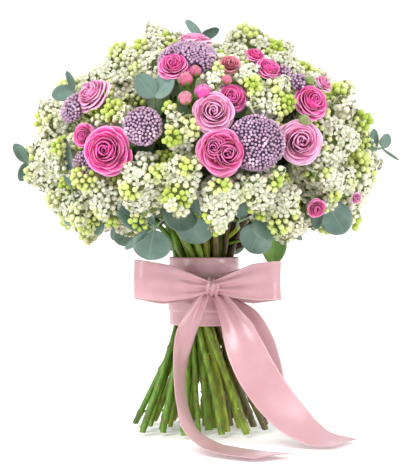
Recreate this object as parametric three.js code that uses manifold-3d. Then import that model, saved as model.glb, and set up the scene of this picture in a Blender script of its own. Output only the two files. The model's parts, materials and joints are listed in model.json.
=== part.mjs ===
// A hand-tied mixed bouquet that stands on its own cut stems, with a satin ribbon and bow.
// Millimetres, +Z up. The origin is the cut end of the middle stem, on the surface below.
import * as THREE from 'three';
import Module from 'manifold-3d';
import { mergeVertices } from 'three/addons/utils/BufferGeometryUtils.js';

const wasm = await Module();
wasm.setup();

// The flower head is a dome: these four sizes shape it
const headCentre = 256;       // height of its widest ring
const headRadius = 172;       // half its width there
const headRise = 148;         // from that ring to the crown
const headDrop = 95;          // from that ring to where its underside would close

// The tie and the stems
const wrapBottom = 102;
const wrapTop = 169;
const tieRadius = 27.5;       // stem centres of the outermost ring at the tie
const footRadius = 73;        // the same ring at the cut ends
const footTwist = 27;         // degrees that the spiral turns from the wrap to the feet
const headTwist = 28;         // degrees that it turns from the tie to the flowers
const stemRadius = { lilac: 4, rose: 3.2, purple: 2.8, eucalyptus: 2.6, leaf: 3 };
const thinning = 0.75;        // a stem above the tie, against the same stem below it
const forkThinning = 0.55;    // a twig, against the stem that it forks from
const goldenAngle = 137.508;

const gap = 0.3;              // clearance between two pieces that touch
const keepFromMiddle = 8;     // least that a bloom leaves of a lilac head on its side of the middle
const seatGap = 0.4;          // from a stem's end to the flat seat of its flower
const bladeThickness = 0.9;
const ribbonThickness = 1.2;

// Where the flowers' places were sighted from: every x and z below is read in the upright plane
// through the stems, and the line from this point through it meets the dome at the flower
const sight = new THREE.Vector3(4, -1300, 193);

const vec = (x, y, z) => new THREE.Vector3(x, y, z);
const radians = THREE.MathUtils.degToRad;
const up = vec(0, 0, 1);
const polar = (radius, degrees, z) =>
  vec(radius * Math.cos(radians(degrees)), radius * Math.sin(radians(degrees)), z);

// Solids

function asSolid(geometry) {
  geometry.deleteAttribute('normal');
  geometry.deleteAttribute('uv');
  const merged = mergeVertices(geometry, 1e-4);
  return new wasm.Manifold(new wasm.Mesh({
    numProp: 3,
    vertProperties: new Float32Array(merged.attributes.position.array),
    triVerts: new Uint32Array(merged.index.array),
  }));
}

function facesToSolid(points, faces) {
  const geometry = new THREE.BufferGeometry().setFromPoints(points);
  geometry.setIndex(faces.flat());
  return asSolid(geometry);
}

// A closed skin through rings of points, with a pole at each end
function ringSolid(bottom, rings, top) {
  const sides = rings[0].length;
  const points = [bottom, ...rings.flat(), top];
  const at = (ring, side) => 1 + ring * sides + (side % sides);
  const last = rings.length - 1;
  const faces = [];
  for (let side = 0; side < sides; side++) {
    faces.push([0, at(0, side + 1), at(0, side)]);
    faces.push([points.length - 1, at(last, side), at(last, side + 1)]);
    for (let ring = 0; ring < last; ring++) {
      faces.push([at(ring, side), at(ring, side + 1), at(ring + 1, side + 1)]);
      faces.push([at(ring, side), at(ring + 1, side + 1), at(ring + 1, side)]);
    }
  }
  return facesToSolid(points, faces);
}

// Three directions square to each other, the third along the axis
function frameAlong(axis) {
  const along = axis.clone().normalize();
  const hint = Math.abs(along.z) > 0.9 ? vec(0, 1, 0) : up;
  const across = new THREE.Vector3().crossVectors(hint, along).normalize();
  return [across, new THREE.Vector3().crossVectors(along, across), along];
}

// A body turned about an axis: each profile row is [distance out, distance along], in units of
// size, and relief(ring, side) multiplies the distance out
function turnedBody(centre, axis, size, profile, sides, relief = () => 1, lift = () => 0) {
  const [across, upward, along] = frameAlong(axis);
  const point = (out, high, turn) => centre.clone()
    .addScaledVector(across, out * size * Math.cos(turn))
    .addScaledVector(upward, out * size * Math.sin(turn))
    .addScaledVector(along, high * size);
  const ends = [profile[0], profile[profile.length - 1]];
  const rings = profile.slice(1, -1).map(([out, high], ring) =>
    Array.from({ length: sides }, (_, side) =>
      point(out * relief(ring, side), high + lift(ring, side), (side / sides) * 2 * Math.PI)));
  return ringSolid(point(0, ends[0][1], 0), rings, point(0, ends[1][1], 0));
}

class SectionPath extends THREE.CatmullRomCurve3 {
  getUtoTmapping(u) {
    return u;                 // a section falls on every point that is given
  }
}

function tube(points, radius, sides = 6) {
  const corners = Array.from({ length: sides }, (_, side) => {
    const turn = (side / sides) * 2 * Math.PI;
    return new THREE.Vector2(radius * Math.cos(turn), radius * Math.sin(turn));
  });
  return asSolid(new THREE.ExtrudeGeometry(new THREE.Shape(corners), {
    steps: points.length - 1,
    bevelEnabled: false,
    extrudePath: new SectionPath(points),
  }));
}

function lathed(profile, sides) {
  const geometry = new THREE.LatheGeometry(profile.map(([r, z]) => new THREE.Vector2(r, z)), sides);
  geometry.rotateX(Math.PI / 2);
  return asSolid(geometry);
}

const fused = (solids) => solids.reduce((whole, solid) => whole.add(solid));

function largestBody(solid) {
  const bodies = solid.decompose();
  return bodies.reduce((best, body) => (body.volume() > best.volume() ? body : best));
}

function boxesMeet(a, b) {
  const first = a.boundingBox();
  const second = b.boundingBox();
  return [0, 1, 2].every((i) => first.min[i] <= second.max[i] && second.min[i] <= first.max[i]);
}

// Places

// The point at depth y that is sighted through x and z
function sighted(x, z, y = 0) {
  const reach = (y - sight.y) / -sight.y;
  return vec(sight.x + (x - sight.x) * reach, y, sight.z + (z - sight.z) * reach);
}

// The point of the dome that is sighted through x and z
function onDome(x, z, sink = 0) {
  const wide = headRadius - sink;
  const tall = (z >= headCentre ? headRise : headDrop) - sink;
  let [px, pz] = [x, z];
  for (let turn = 0; turn < 40; turn++) {
    const from = vec(sight.x / wide, sight.y / wide, (sight.z - headCentre) / tall);
    const ray = vec(px / wide, 0, (pz - headCentre) / tall).sub(from);
    const half = from.dot(ray);
    const root = half * half - ray.lengthSq() * (from.lengthSq() - 1);
    if (root >= 0) {
      const hit = from.addScaledVector(ray, (-half - Math.sqrt(root)) / ray.lengthSq());
      return vec(hit.x * wide, hit.y * wide, headCentre + hit.z * tall);
    }
    px *= 0.98;
    pz = headCentre + (pz - headCentre) * 0.98;
  }
  return sighted(px, pz);
}

// The point of the dome at an azimuth, in degrees from +X, and a height
function domeAt(azimuth, z, sink = 0) {
  const tall = (z >= headCentre ? headRise : headDrop) - sink;
  const wide = (headRadius - sink) * Math.sqrt(1 - ((z - headCentre) / tall) ** 2);
  return polar(wide, azimuth, z);
}

// The direction in which a flower at this point looks, leant from the dome towards the viewer
function facing(point, lean) {
  const tall = point.z >= headCentre ? headRise : headDrop;
  const outward = vec(
    point.x / headRadius ** 2, point.y / headRadius ** 2, (point.z - headCentre) / tall ** 2,
  ).normalize();
  const viewer = sight.clone().sub(point).normalize();
  return outward.multiplyScalar(1 - lean).addScaledVector(viewer, lean).normalize();
}

// Flowers: each maker gives the solid, the room that it takes, and the seat and axis of its stem

const rosePetals = [
  [0, -0.95], [0.24, -0.95], [0.96, -0.15], [1.04, 0.2], [0.84, 0.12], [0.76, 0.42],
  [0.53, 0.28], [0.42, 0.54], [0, 0.4],
];
const smallPetals = [
  [0, -0.95], [0.3, -0.95], [1.02, 0.1], [0.8, 0.08], [0.62, 0.44], [0.28, 0.24], [0, 0.34],
];
const roseRoom = [[0, -1.12], [1, -0.7], [1.32, 0.25], [0.7, 0.72], [0, 0.74]];
const budPetals = [[0, -1], [0.34, -1], [0.95, -0.1], [0.66, 0.66], [0, 0.86]];
const budRoom = [[0, -1.08], [0.8, -0.85], [1.12, 0], [0.84, 0.82], [0, 1.1]];

// A bloom's cups of petals, each rim waved; small blooms have fewer
function rose([x, z, size, lean, sink = 0.45, y]) {
  const centre = y === undefined ? onDome(x, z, size * sink) : sighted(x, z, y);
  return bloomAt(centre, facing(centre, lean), size);
}

function bloomAt(centre, axis, size) {
  const [petals, sides] = size < 18 ? [smallPetals, 8] : [rosePetals, 10];
  const turn = (place) => (place / sides) * 2 * Math.PI;
  const wave = (ring, place) => 1 + 0.07 * Math.cos(5 * turn(place) + ring * 1.3);
  const scallop = (ring, place) => (ring > 1 ? 0.06 * Math.sin(3 * turn(place) + ring) : 0);
  return {
    solid: turnedBody(centre, axis, size, petals, sides, wave, scallop),
    room: turnedBody(centre, axis, size + gap, roseRoom, 7),
    ball: { centre, radius: 1.13 * size + gap },
    seat: centre.clone().addScaledVector(axis, -0.95 * size),
    axis,
  };
}

function bud([x, z, size, lean = 0.3, sink = 0.2]) {
  const centre = onDome(x, z, size * sink);
  const axis = facing(centre, lean);
  const fold = (ring, place) => 1 + (place % 2 ? 0.07 : -0.05) * (ring > 0 ? 1 : 0);
  return {
    solid: turnedBody(centre, axis, size, budPetals, 6, fold),
    room: turnedBody(centre, axis, size * 1.06 + gap, budRoom, 6),
    ball: { centre, radius: 1.06 * size + gap },
    seat: centre.clone().addScaledVector(axis, -size),
    axis,
  };
}

const purpleDome = [
  [0, -0.75], [0.22, -0.75], [0.98, -0.22], [1, 0.12], [0.8, 0.36], [0.42, 0.54], [0, 0.58],
];
const purpleRoom = [[0, -0.85], [1.18, -0.32], [1.26, 0.12], [0.78, 0.62], [0, 0.72]];

// A flat-topped head of buds, whose packed tops are the relief of its skin
function purpleHead([x, z, size, lean, sink = 0.3]) {
  const centre = onDome(x, z, size * sink);
  return purpleAt(centre, facing(centre, lean), size);
}

function purpleAt(centre, axis, size) {
  const buds = (ring, place) => (ring > 0 ? ((ring + place) % 2 ? 1.06 : 0.94) : 1);
  const tops = (ring, place) => (ring > 1 ? ((ring + place) % 2 ? 0.05 : -0.05) : 0);
  return {
    solid: turnedBody(centre, axis, size, purpleDome, 10, buds, tops),
    room: turnedBody(centre, axis, size + gap, purpleRoom, 7),
    ball: { centre, radius: 1.08 * size + gap },
    seat: centre.clone().addScaledVector(axis, -0.75 * size),
    axis,
  };
}

// Rings of florets in degrees off the axis, for a head in front and for a larger one behind
const fineRings = [18, 40, 66, 100];
const coarseRings = [28, 60, 100];

// How far a lobe of this length and radius reaches from its root, at an angle to its axis
function lobeReach(length, radius, cosine) {
  const [middle, half] = [length * 0.5, length * 0.54];
  const sine = 1 - cosine ** 2;
  const square = cosine ** 2 / half ** 2 + sine / radius ** 2;
  const linear = (middle * cosine) / half ** 2;
  return (linear + Math.sqrt(linear ** 2 + square * (1 - middle ** 2 / half ** 2))) / square;
}

// A lilac head: one skin over the lobes that spread from its root, every other floret standing out
function lilac(ends, lobeRadius, angles, sides) {
  const inner = vec(0, 0, 222);
  const middle = ends.reduce((sum, end) => sum.add(end), vec(0, 0, 0)).divideScalar(ends.length);
  const root = inner.clone().lerp(middle, 0.64);
  const axis = middle.clone().sub(inner).normalize();
  const [across, upward, along] = frameAlong(axis);
  const lobes = ends.map((end) => end.clone().sub(root));
  const reachAlong = (ray) => Math.max(...lobes.map((lobe) =>
    lobeReach(lobe.length(), lobeRadius, ray.dot(lobe) / lobe.length())));
  const rings = angles.map((angle, ring) => Array.from({ length: sides }, (_, place) => {
    const turn = (-(place + (ring % 2) * 0.5) / sides) * 2 * Math.PI;
    const ray = along.clone().multiplyScalar(Math.cos(radians(angle)))
      .addScaledVector(across, Math.sin(radians(angle)) * Math.cos(turn))
      .addScaledVector(upward, Math.sin(radians(angle)) * Math.sin(turn));
    const floret = angle > 105 ? 1 : ((ring + place) % 2 ? 1.06 : 0.93);
    return root.clone().addScaledVector(ray, reachAlong(ray) * floret);
  }));
  const tip = root.clone().addScaledVector(along, reachAlong(along));
  const seat = root.clone().addScaledVector(along, -8);
  return { solid: ringSolid(tip, rings, seat), seat, axis, middle };
}

// Heads that share a branch, grown into one another
function lilacBranch(tipsOfHeads) {
  return tipsOfHeads.map((tips) => lilac(
    tips.map(([x, z, y]) => (y === undefined ? onDome(x, z, 1) : sighted(x, z, y))), 18, fineRings, 10,
  ));
}

// The same on the far side, where each head is a ring of lobes about a place on the dome
function farBranch(places) {
  const ends = ([azimuth, z]) => [[0, 0], [1, 0], [0.31, 1], [-0.81, 0.6], [-0.81, -0.6], [0.31, -1]]
    .map(([aside, rise]) => {
      const high = Math.min(z + 25 * rise, headCentre + headRise - 2);
      const tall = high >= headCentre ? headRise : headDrop;
      const wide = headRadius * Math.sqrt(1 - ((high - headCentre) / tall) ** 2);
      const turn = radians(azimuth) + (24 * aside) / Math.max(wide, 50);
      return vec(wide * Math.cos(turn), wide * Math.sin(turn), high);
    });
  return places.map((place) => lilac(ends(place), 24, coarseRings, 9));
}

// A round leaf blade from its base to its tip, cupped, narrowing to its root on the stem
function blade(root, base, tip, width, roll, grow = 0) {
  const axis = tip.clone().sub(base);
  const length = axis.length();
  axis.normalize();
  const viewer = sight.clone().sub(base).normalize();
  const across = new THREE.Vector3().crossVectors(axis, viewer).normalize()
    .applyAxisAngle(axis, radians(roll));
  const face = new THREE.Vector3().crossVectors(across, axis).normalize();
  const outline = 8;
  const half = bladeThickness / 2 + grow;
  const place = (along, aside, lift) => base.clone().addScaledVector(axis, along)
    .addScaledVector(across, aside).addScaledVector(face, lift);
  const points = [];
  for (const layer of [half, -half]) {
    points.push(place(length * 0.52, 0, layer - width * 0.05));
    for (let corner = 0; corner < outline; corner++) {
      const turn = (corner / outline) * 2 * Math.PI;
      const along = (length / 2) * (1 - Math.cos(turn)) - grow * Math.cos(turn);
      const aside = (width / 2 + grow) * Math.sin(turn);
      points.push(corner > 0
        ? place(along, aside, layer + width * 0.07 * Math.sin(turn) ** 2)
        : root.clone().addScaledVector(face, layer));
    }
  }
  const top = (corner) => 1 + (corner % outline);
  const under = (corner) => outline + 2 + (corner % outline);
  const faces = [];
  for (let corner = 0; corner < outline; corner++) {
    faces.push([0, top(corner + 1), top(corner)]);
    faces.push([outline + 1, under(corner), under(corner + 1)]);
    faces.push([top(corner), top(corner + 1), under(corner + 1)]);
    faces.push([top(corner), under(corner + 1), under(corner)]);
  }
  const solid = facesToSolid(points, faces);
  return solid.volume() > 0 ? solid : facesToSolid(points, faces.map(([a, b, c]) => [a, c, b]));
}

// A leafy sprig: its stem's points, then leaves as [stem point, base, tip, width, roll]
function sprig({ stem, leaves, thick = 1.3 }) {
  const line = stem.map(([x, z, y]) => sighted(x, z, y));
  const parts = (grow) => {
    const solids = [tube(line, thick + grow, 4)];
    for (const [from, base, tip, width, roll = 0] of leaves) {
      solids.push(blade(line[from], sighted(...base), sighted(...tip), width, roll, grow));
    }
    return fused(solids);
  };
  return {
    solid: parts(0),
    room: parts(gap),
    seat: line[0],
    axis: line[1].clone().sub(line[0]).normalize(),
  };
}

// Several blooms on one forked stem, held by thin green twigs
function spray(blooms, twigRadius = 1.5) {
  const balls = blooms.map(({ ball, room }) => ({ ...ball, room }));
  if (blooms.length === 1) {
    const [{ solid, seat, axis }] = blooms;
    return { solid, seat, axis, balls };
  }
  const seat = blooms.reduce((sum, bloom) => sum.add(bloom.seat), vec(0, 0, 0))
    .divideScalar(blooms.length);
  const axis = blooms.reduce((sum, bloom) => sum.add(bloom.axis), vec(0, 0, 0)).normalize();
  seat.addScaledVector(axis, -12);
  const fork = seat.clone().addScaledVector(axis, 6);
  const twigs = (grow) => fused([
    turnedBody(fork, axis, 1, [[0, -6 - grow], [3.8, -6 - grow], [5 + grow, 1], [0, 5 + grow]], 4),
    ...blooms.map((bloom) => {
      const end = bloom.seat.clone().addScaledVector(bloom.axis, 2 * twigRadius);
      return tube([fork, end], twigRadius + grow, 3);
    }),
  ]);
  return {
    solid: fused([...blooms.map((bloom) => bloom.solid), twigs(0)]), room: twigs(gap), seat, axis, balls,
  };
}

// The flowers: x and z as sighted, then radius, lean towards the viewer and sink into the head

const roses = {
  rose_left: { blooms: [[-96, 275, 21.5, 0.5], [-119, 290, 11.5, 0.4, 0.9]] },
  rose_upper_left: { blooms: [[-110, 330, 17, 0.05, 0.5]], on: 'rose_left' },
  rose_crown: { blooms: [[-10, 381, 18, -0.1, 0, -52]] },
  rose_centre_pair: { blooms: [[9, 313, 18.5, 0.35], [27, 327, 14, 0.3, 1]] },
  rose_heart: { blooms: [[17, 274, 20.5, 0.55]] },
  rose_right: { blooms: [[95, 284, 20, 0.6]] },
  rose_far_right_pair: {
    blooms: [[106, 323, 17, 0.25], [119, 342, 9, 0.1, 0.7]],
    buds: [[101, 306, 6.5, 0.3, -0.3], [106, 346, 5.5, 0.2, -0.3]],
  },
  rose_top_right_spray: {
    blooms: [[64, 356, 12, 0.1], [51, 370, 9, 0], [26, 361, 9.5, 0.3, 0.7]],
    buds: [[23, 347, 6]],
  },
  rose_low_right_spray: { blooms: [[112, 218, 9, 0.5], [152, 228, 5.5, 0.5]], on: 'rose_right' },
  rose_top_left_spray: {
    blooms: [[-30, 359, 14, 0.15]],
    buds: [[-19, 348, 8.5], [-9, 356, 7], [-19, 329, 8], [-1, 335, 9.5]],
  },
  rose_back_right: { places: [[28, 268, 23]] },
  rose_back_middle: { places: [[77, 268, 23]] },
  rose_back_top: { places: [[100, 328, 22]] },
  rose_back_left: { places: [[154, 322, 22]] },
};

const purples = {
  purple_left: { heads: [[-61, 300, 17.5, 0.4]] },
  purple_right: { heads: [[52, 283, 25.5, 0.45, 0.3]] },
  purple_crown: { heads: [[-17, 367, 27, -0.2, 0.25]] },
  purple_far_left: { heads: [[-131, 318, 15, 0]] },
  purple_low_left: { heads: [[-119, 262, 12, 0.3, 1.1]], on: 'purple_far_left' },
  purple_upper_right: { heads: [[96, 343, 10, 0.1, 0.4], [79, 356, 7, 0.1, 0.4]], on: 'purple_right' },
  purple_back_right: { places: [[44, 322, 25]] },
  purple_back_left: { places: [[125, 270, 24]], on: 'purple_back_right' },
};

// Lilac in front: where each head's lobes end, as x, z and, for those at the rim, y
const lilacs = {
  lilac_left: {
    heads: [[[-174, 299, 8], [-165, 277, -34], [-171, 252, 0], [-145, 293], [-152, 262], [-142, 243]]],
  },
  lilac_left_low: {
    heads: [[[-157, 236, -20], [-152, 214, -28], [-134, 222], [-119, 197]]],
    on: 'lilac_left',
  },
  lilac_under_rose: { heads: [[[-126, 240], [-119, 256], [-107, 226], [-104, 209]]] },
  lilac_lower_middle: {
    heads: [[[-87, 229], [-69, 238], [-82, 250], [-86, 203], [-59, 270], [-50, 250]]],
  },
  lilac_column: {
    heads: [
      [[-36, 318], [-24, 300], [-7, 296], [-42, 294]],
      [[-32, 268], [-16, 264], [-34, 243], [-30, 219], [-12, 240]],
    ],
  },
  lilac_drooping: { heads: [[[6, 243], [24, 248], [31, 236], [14, 226], [22, 200]]] },
  lilac_lower_right: { heads: [[[41, 250], [61, 247], [79, 260], [54, 233], [70, 235]]] },
  lilac_drooping_right: {
    heads: [[[96, 246], [87, 230], [82, 212], [97, 204], [104, 187, -78]]],
    on: 'lilac_lower_right',
  },
  lilac_right: {
    heads: [
      [[129, 278], [155, 276], [141, 308], [125, 297], [152, 294], [165, 266, -10], [128, 329]],
      [[116, 251], [141, 240], [177, 238, 0], [131, 262], [158, 252], [124, 236]],
    ],
  },
  lilac_upper_right: {
    heads: [[[66, 321], [88, 318], [52, 308], [78, 342], [46, 350], [42, 333]]],
  },
  lilac_top_right: {
    heads: [[[77, 371, -50], [56, 391, -20], [101, 360, -30], [84, 384, 0], [112, 350, 10]]],
    on: 'lilac_upper_right',
  },
  lilac_crown: { heads: [[[24, 388, -35], [38, 374, -70], [8, 361], [8, 346], [24, 398, 0]]] },
  lilac_top_left: {
    heads: [[[-74, 384, -20], [-57, 392, -5], [-56, 375], [-52, 359], [-30, 398, 15], [-54, 374, -20]]],
  },
  lilac_upper_left: {
    heads: [[[-109, 356, -20], [-82, 362], [-84, 339], [-101, 367, 15], [-128, 338, 0]]],
    on: 'lilac_beside_leaf',
  },
  lilac_beside_leaf: { heads: [[[-89, 318], [-103, 304], [-72, 326], [-129, 305], [-90, 316, -90]]] },
};

// Lilac behind: each head's azimuth and height on the dome
const farLilacs = {
  lilac_back_low_right: { places: [[8, 222], [38, 216], [68, 220], [53, 270]] },
  lilac_back_low_left: { places: [[100, 218], [130, 216], [160, 222], [102, 268], [149, 268]] },
  lilac_back_right: { places: [[-12, 240], [6, 285], [-20, 312], [10, 335], [25, 372]] },
  lilac_back_left: { places: [[178, 262], [181, 318], [166, 366]] },
  lilac_back_top: { places: [[72, 325], [72, 370]] },
  lilac_back_top_left: { places: [[125, 370], [128, 325]], on: 'lilac_back_top' },
  lilac_back_crown: { places: [[90, 384], [30, 396], [150, 396]], on: 'lilac_back_top' },
};

// Eucalyptus and the one broad leaf: points are x, z and y as sighted
const sprigs = {
  eucalyptus_far_left: {
    stem: [[-150, 262, -5], [-164, 264, 0], [-177, 263, 0]],
    leaves: [
      [2, [-177, 264, 0], [-190, 282, -4], 13, 20],
      [2, [-177, 263, 0], [-184, 245, -4], 12, -20],
      [1, [-166, 270, 0], [-171, 283, 2], 5, 55],
    ],
  },
  eucalyptus_upper_left: {
    stem: [[-112, 326, -40], [-124, 332, -42], [-131, 336, -44]],
    leaves: [
      [2, [-131, 336, -44], [-152, 330, -48], 16, 10],
      [2, [-131, 336, -44], [-137, 355, -40], 11, 50],
    ],
    on: 'eucalyptus_far_left',
  },
  eucalyptus_crown: {
    stem: [[-6, 362, -8], [-4, 380, -10], [-3, 389, -12]],
    leaves: [
      [2, [-3, 389, -12], [-18, 406, -12], 10, 30],
      [2, [-3, 389, -12], [15, 397, -14], 12, 35],
    ],
  },
  eucalyptus_heart_pair: {
    stem: [[-46, 305, -118], [-49, 318, -134], [-50, 328, -140]],
    leaves: [
      [2, [-50, 329, -141], [-67, 351, -146], 21, 15],
      [2, [-50, 329, -141], [-32, 351, -144], 21, -25],
    ],
    on: 'eucalyptus_crown',
  },
  eucalyptus_left_low: {
    stem: [[-96, 223, -62], [-110, 213, -67], [-124, 215, -67]],
    leaves: [
      [2, [-126, 214, -67], [-139, 203, -62], 15, 12],
      [2, [-134, 240, -84], [-138, 284, -96], 15, -35],
      [1, [-108, 206, -70], [-105, 191, -76], 13, 14],
      [0, [-91, 198, -70], [-91, 186, -72], 6, 40],
    ],
    on: 'eucalyptus_lower_middle',
  },
  eucalyptus_lower_middle: {
    stem: [[-20, 206, -62], [-12, 212, -90], [-24, 220, -102], [-50, 198, -107]],
    leaves: [
      [3, [-54, 200, -108], [-85, 217, -116], 25, 15],
      [3, [-50, 196, -106], [-55, 166, -102], 37, -10],
      [3, [-56, 194, -108], [-79, 177, -104], 10, 40],
      [3, [-51, 201, -109], [-58, 226, -122], 12, 50],
      [2, [-23, 219, -103], [-26, 195, -116], 33, -10],
      [1, [-12, 215, -92], [-13, 240, -112], 14, 10],
      [1, [-8, 213, -91], [10, 222, -98], 16, 20],
      [1, [-8, 208, -86], [-9, 182, -84], 34, 0],
    ],
  },
  eucalyptus_lower_right: {
    stem: [[34, 200, -62], [36, 205, -86], [60, 214, -106]],
    leaves: [
      [1, [36, 208, -88], [40, 226, -98], 15, 20],
      [2, [61, 217, -107], [64, 237, -114], 35, 15],
      [2, [61, 211, -109], [66, 186, -116], 31, -15],
      [2, [58, 200, -90], [46, 174, -82], 33, 10],
      [2, [77, 204, -98], [98, 186, -92], 9, 30],
    ],
  },
  eucalyptus_right_low: {
    stem: [[97, 205, -58], [109, 210, -68], [121, 216, -76]],
    leaves: [
      [2, [124, 221, -71], [141, 193, -74], 32, 0],
      [1, [114, 218, -72], [113, 197, -84], 13, 20],
    ],
    on: 'eucalyptus_lower_right',
  },
  eucalyptus_far_right: {
    stem: [[150, 268, 6], [168, 276, 4], [179, 278, 2]],
    leaves: [
      [1, [170, 278, 4], [170, 297, 0], 10, 30],
      [1, [169, 272, 4], [175, 256, 0], 12, -10],
      [2, [179, 278, 2], [184, 292, 0], 12, 20],
      [2, [179, 277, 2], [195, 266, 2], 6, 65],
    ],
  },
  broad_leaf: {
    stem: [[56, 204, -30], [66, 202, -36], [71, 195, -38]],
    leaves: [[2, [71, 195, -38], [69, 161, -36], 26, 0]],
    thick: 1.6,
    on: 'lilac_lower_right',
  },
  eucalyptus_back: {
    stem: [[-30, 204, 62], [-10, 196, 88], [12, 192, 100]],
    leaves: [
      [2, [12, 190, 101], [-4, 168, 104], 33, 8],
      [2, [16, 190, 102], [40, 178, 104], 28, 0],
      [1, [-12, 194, 92], [-44, 184, 96], 30, 0],
      [0, [-60, 200, 84], [-90, 186, 84], 28, 0],
    ],
  },
};

// A flower of the far side, from its azimuth and height on the dome
function farBloom([azimuth, z, size], make) {
  const centre = domeAt(azimuth, z, size * 0.4);
  return make(centre, facing(centre, 0), size);
}

// Every flower and sprig, in the order in which they take their room
const heads = [];
for (const [name, { blooms = [], buds = [], places = [], on }] of Object.entries(roses)) {
  const parts = [
    ...blooms.map(rose), ...buds.map(bud), ...places.map((place) => farBloom(place, bloomAt)),
  ];
  heads.push({ name, on, kind: 'rose', ...spray(parts) });
}
for (const [name, { heads: parts = [], places = [], on }] of Object.entries(purples)) {
  const made = [...parts.map(purpleHead), ...places.map((place) => farBloom(place, purpleAt))];
  heads.push({ name, on, kind: 'purple', ...spray(made) });
}
for (const [name, { on, ...shape }] of Object.entries(sprigs)) {
  heads.push({ name, on, kind: name === 'broad_leaf' ? 'leaf' : 'eucalyptus', ...sprig(shape) });
}
const branches = [
  ...Object.entries(lilacs).map(([name, { heads: tips, on }]) => [name, on, lilacBranch(tips)]),
  ...Object.entries(farLilacs).map(([name, { places, on }]) => [name, on, farBranch(places)]),
];
for (const [name, on, [first, ...others]] of branches) {
  heads.push({ name, on, kind: 'lilac', ...first });
  others.forEach((head, index) => {
    heads.push({ name: `${name}_${index + 2}`, on: name, kind: 'lilac', partOf: name, ...head });
  });
}

// Stems

// Stems that reach the ground. In the tie they lie on a sunflower spiral, one of them on the axis
const rooted = heads.filter((head) => !head.on);
const slots = rooted.map((_, index) => ({
  out: Math.sqrt(index / (rooted.length - 1)),
  turn: index * goldenAngle,
}));

// Below the tie each stem is straight, from its cut end to inside the pressed bundle
function lowerStem({ out, turn }) {
  const foot = polar(footRadius * out, turn + footTwist + 8, 0);
  const edge = polar(tieRadius * out, turn + 6, wrapBottom);
  const slope = edge.clone().sub(foot).divideScalar(wrapBottom);
  return [foot.clone().addScaledVector(slope, -6), edge.clone().addScaledVector(slope, 23)];
}

// Each flower takes a place in the tie on its own side, and two swap where that shortens their way
const wanted = rooted.map((head) => head.seat.clone().setZ(0).applyAxisAngle(up, radians(headTwist))
  .multiplyScalar(1 / headRadius));
const way = (flower, slot) => polar(slot.out, slot.turn, 0).distanceToSquared(wanted[flower]);
for (let pass = 0; pass < 12; pass++) {
  for (let a = 0; a < slots.length; a++) {
    for (let b = a + 1; b < slots.length; b++) {
      if (way(a, slots[b]) + way(b, slots[a]) < way(a, slots[a]) + way(b, slots[b]) - 1e-9) {
        [slots[a], slots[b]] = [slots[b], slots[a]];
      }
    }
  }
}
const paths = {};
for (const [index, head] of rooted.entries()) {
  const slot = slots[index];
  const top = polar(tieRadius * slot.out, slot.turn - 5, wrapTop);
  const rising = polar(slot.out * 0.5, slot.turn, 1)
    .add(polar(slot.out * 0.35, slot.turn - 90, 0)).normalize();
  const end = head.seat.clone().addScaledVector(head.axis, -seatGap);
  const bend = end.clone().addScaledVector(head.axis, -0.4 * end.distanceTo(top));
  const start = top.clone().addScaledVector(rising, -8);
  const fork = start.clone().lerp(bend, 0.5);
  paths[head.name] = { lower: lowerStem(slot), upper: [start, bend, end], fork };
}

const stemSolids = (grow) => {
  const solids = rooted.flatMap((head) => {
    const { lower, upper } = paths[head.name];
    const radius = stemRadius[head.kind];
    return [tube(lower, radius + grow, 5), tube(upper, radius * thinning + grow, 4)];
  });
  for (const head of heads.filter((one) => one.on && !one.partOf)) {
    const { fork } = paths[head.on];
    const end = head.seat.clone().addScaledVector(head.axis, -seatGap);
    const points = [fork, end.clone().addScaledVector(head.axis, -0.4 * end.distanceTo(fork)), end];
    solids.push(tube(points, stemRadius[head.kind] * forkThinning + grow, 3));
  }
  return solids;
};

// In the tie the stems are pressed into one another, as one body
const tieSides = 12;
const pressedRadius = tieRadius + stemRadius.lilac;
const pressed = lathed([
  [0, wrapBottom + 5], [pressedRadius, wrapBottom + 5], [pressedRadius, wrapTop - 5],
  [0, wrapTop - 5],
], tieSides);

// Ribbon and twine

// A flat band through centre points: guides give its width direction, halves its half width
function band(centres, guides, halves, sections, skew = 0, grow = 0) {
  const line = new THREE.CatmullRomCurve3(centres);
  const guideLine = new THREE.CatmullRomCurve3(guides);
  const points = [];
  for (let section = 0; section <= sections; section++) {
    const t = section / sections;
    const spot = t * (halves.length - 1);
    const step = Math.min(Math.floor(spot), halves.length - 2);
    const half = THREE.MathUtils.lerp(halves[step], halves[step + 1], spot - step) + grow;
    const along = line.getTangent(t);
    const across = guideLine.getPoint(t);
    across.addScaledVector(along, -across.dot(along)).normalize();
    const face = new THREE.Vector3().crossVectors(along, across);
    const centre = line.getPoint(t);
    const thick = ribbonThickness / 2 + grow;
    for (const [aside, lift] of [[-1, -1], [1, -1], [1, 1], [-1, 1]]) {
      const cut = section === sections ? aside * skew : 0;
      points.push(centre.clone().addScaledVector(across, aside * half)
        .addScaledVector(face, lift * thick).addScaledVector(along, cut));
    }
  }
  const faces = [[0, 2, 1], [0, 3, 2]];
  const end = sections * 4;
  faces.push([end, end + 1, end + 2], [end, end + 2, end + 3]);
  for (let section = 0; section < sections; section++) {
    for (let side = 0; side < 4; side++) {
      const [a, b] = [section * 4 + side, section * 4 + ((side + 1) % 4)];
      faces.push([a, b, b + 4], [a, b + 4, a + 4]);
    }
  }
  const solid = facesToSolid(points, faces);
  return solid.volume() > 0 ? solid : facesToSolid(points, faces.map(([a, b, c]) => [a, c, b]));
}

const points3 = (rows) => rows.map(([x, y, z]) => vec(x, y, z));
const knotCentre = vec(7, -43.6, 141);

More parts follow.
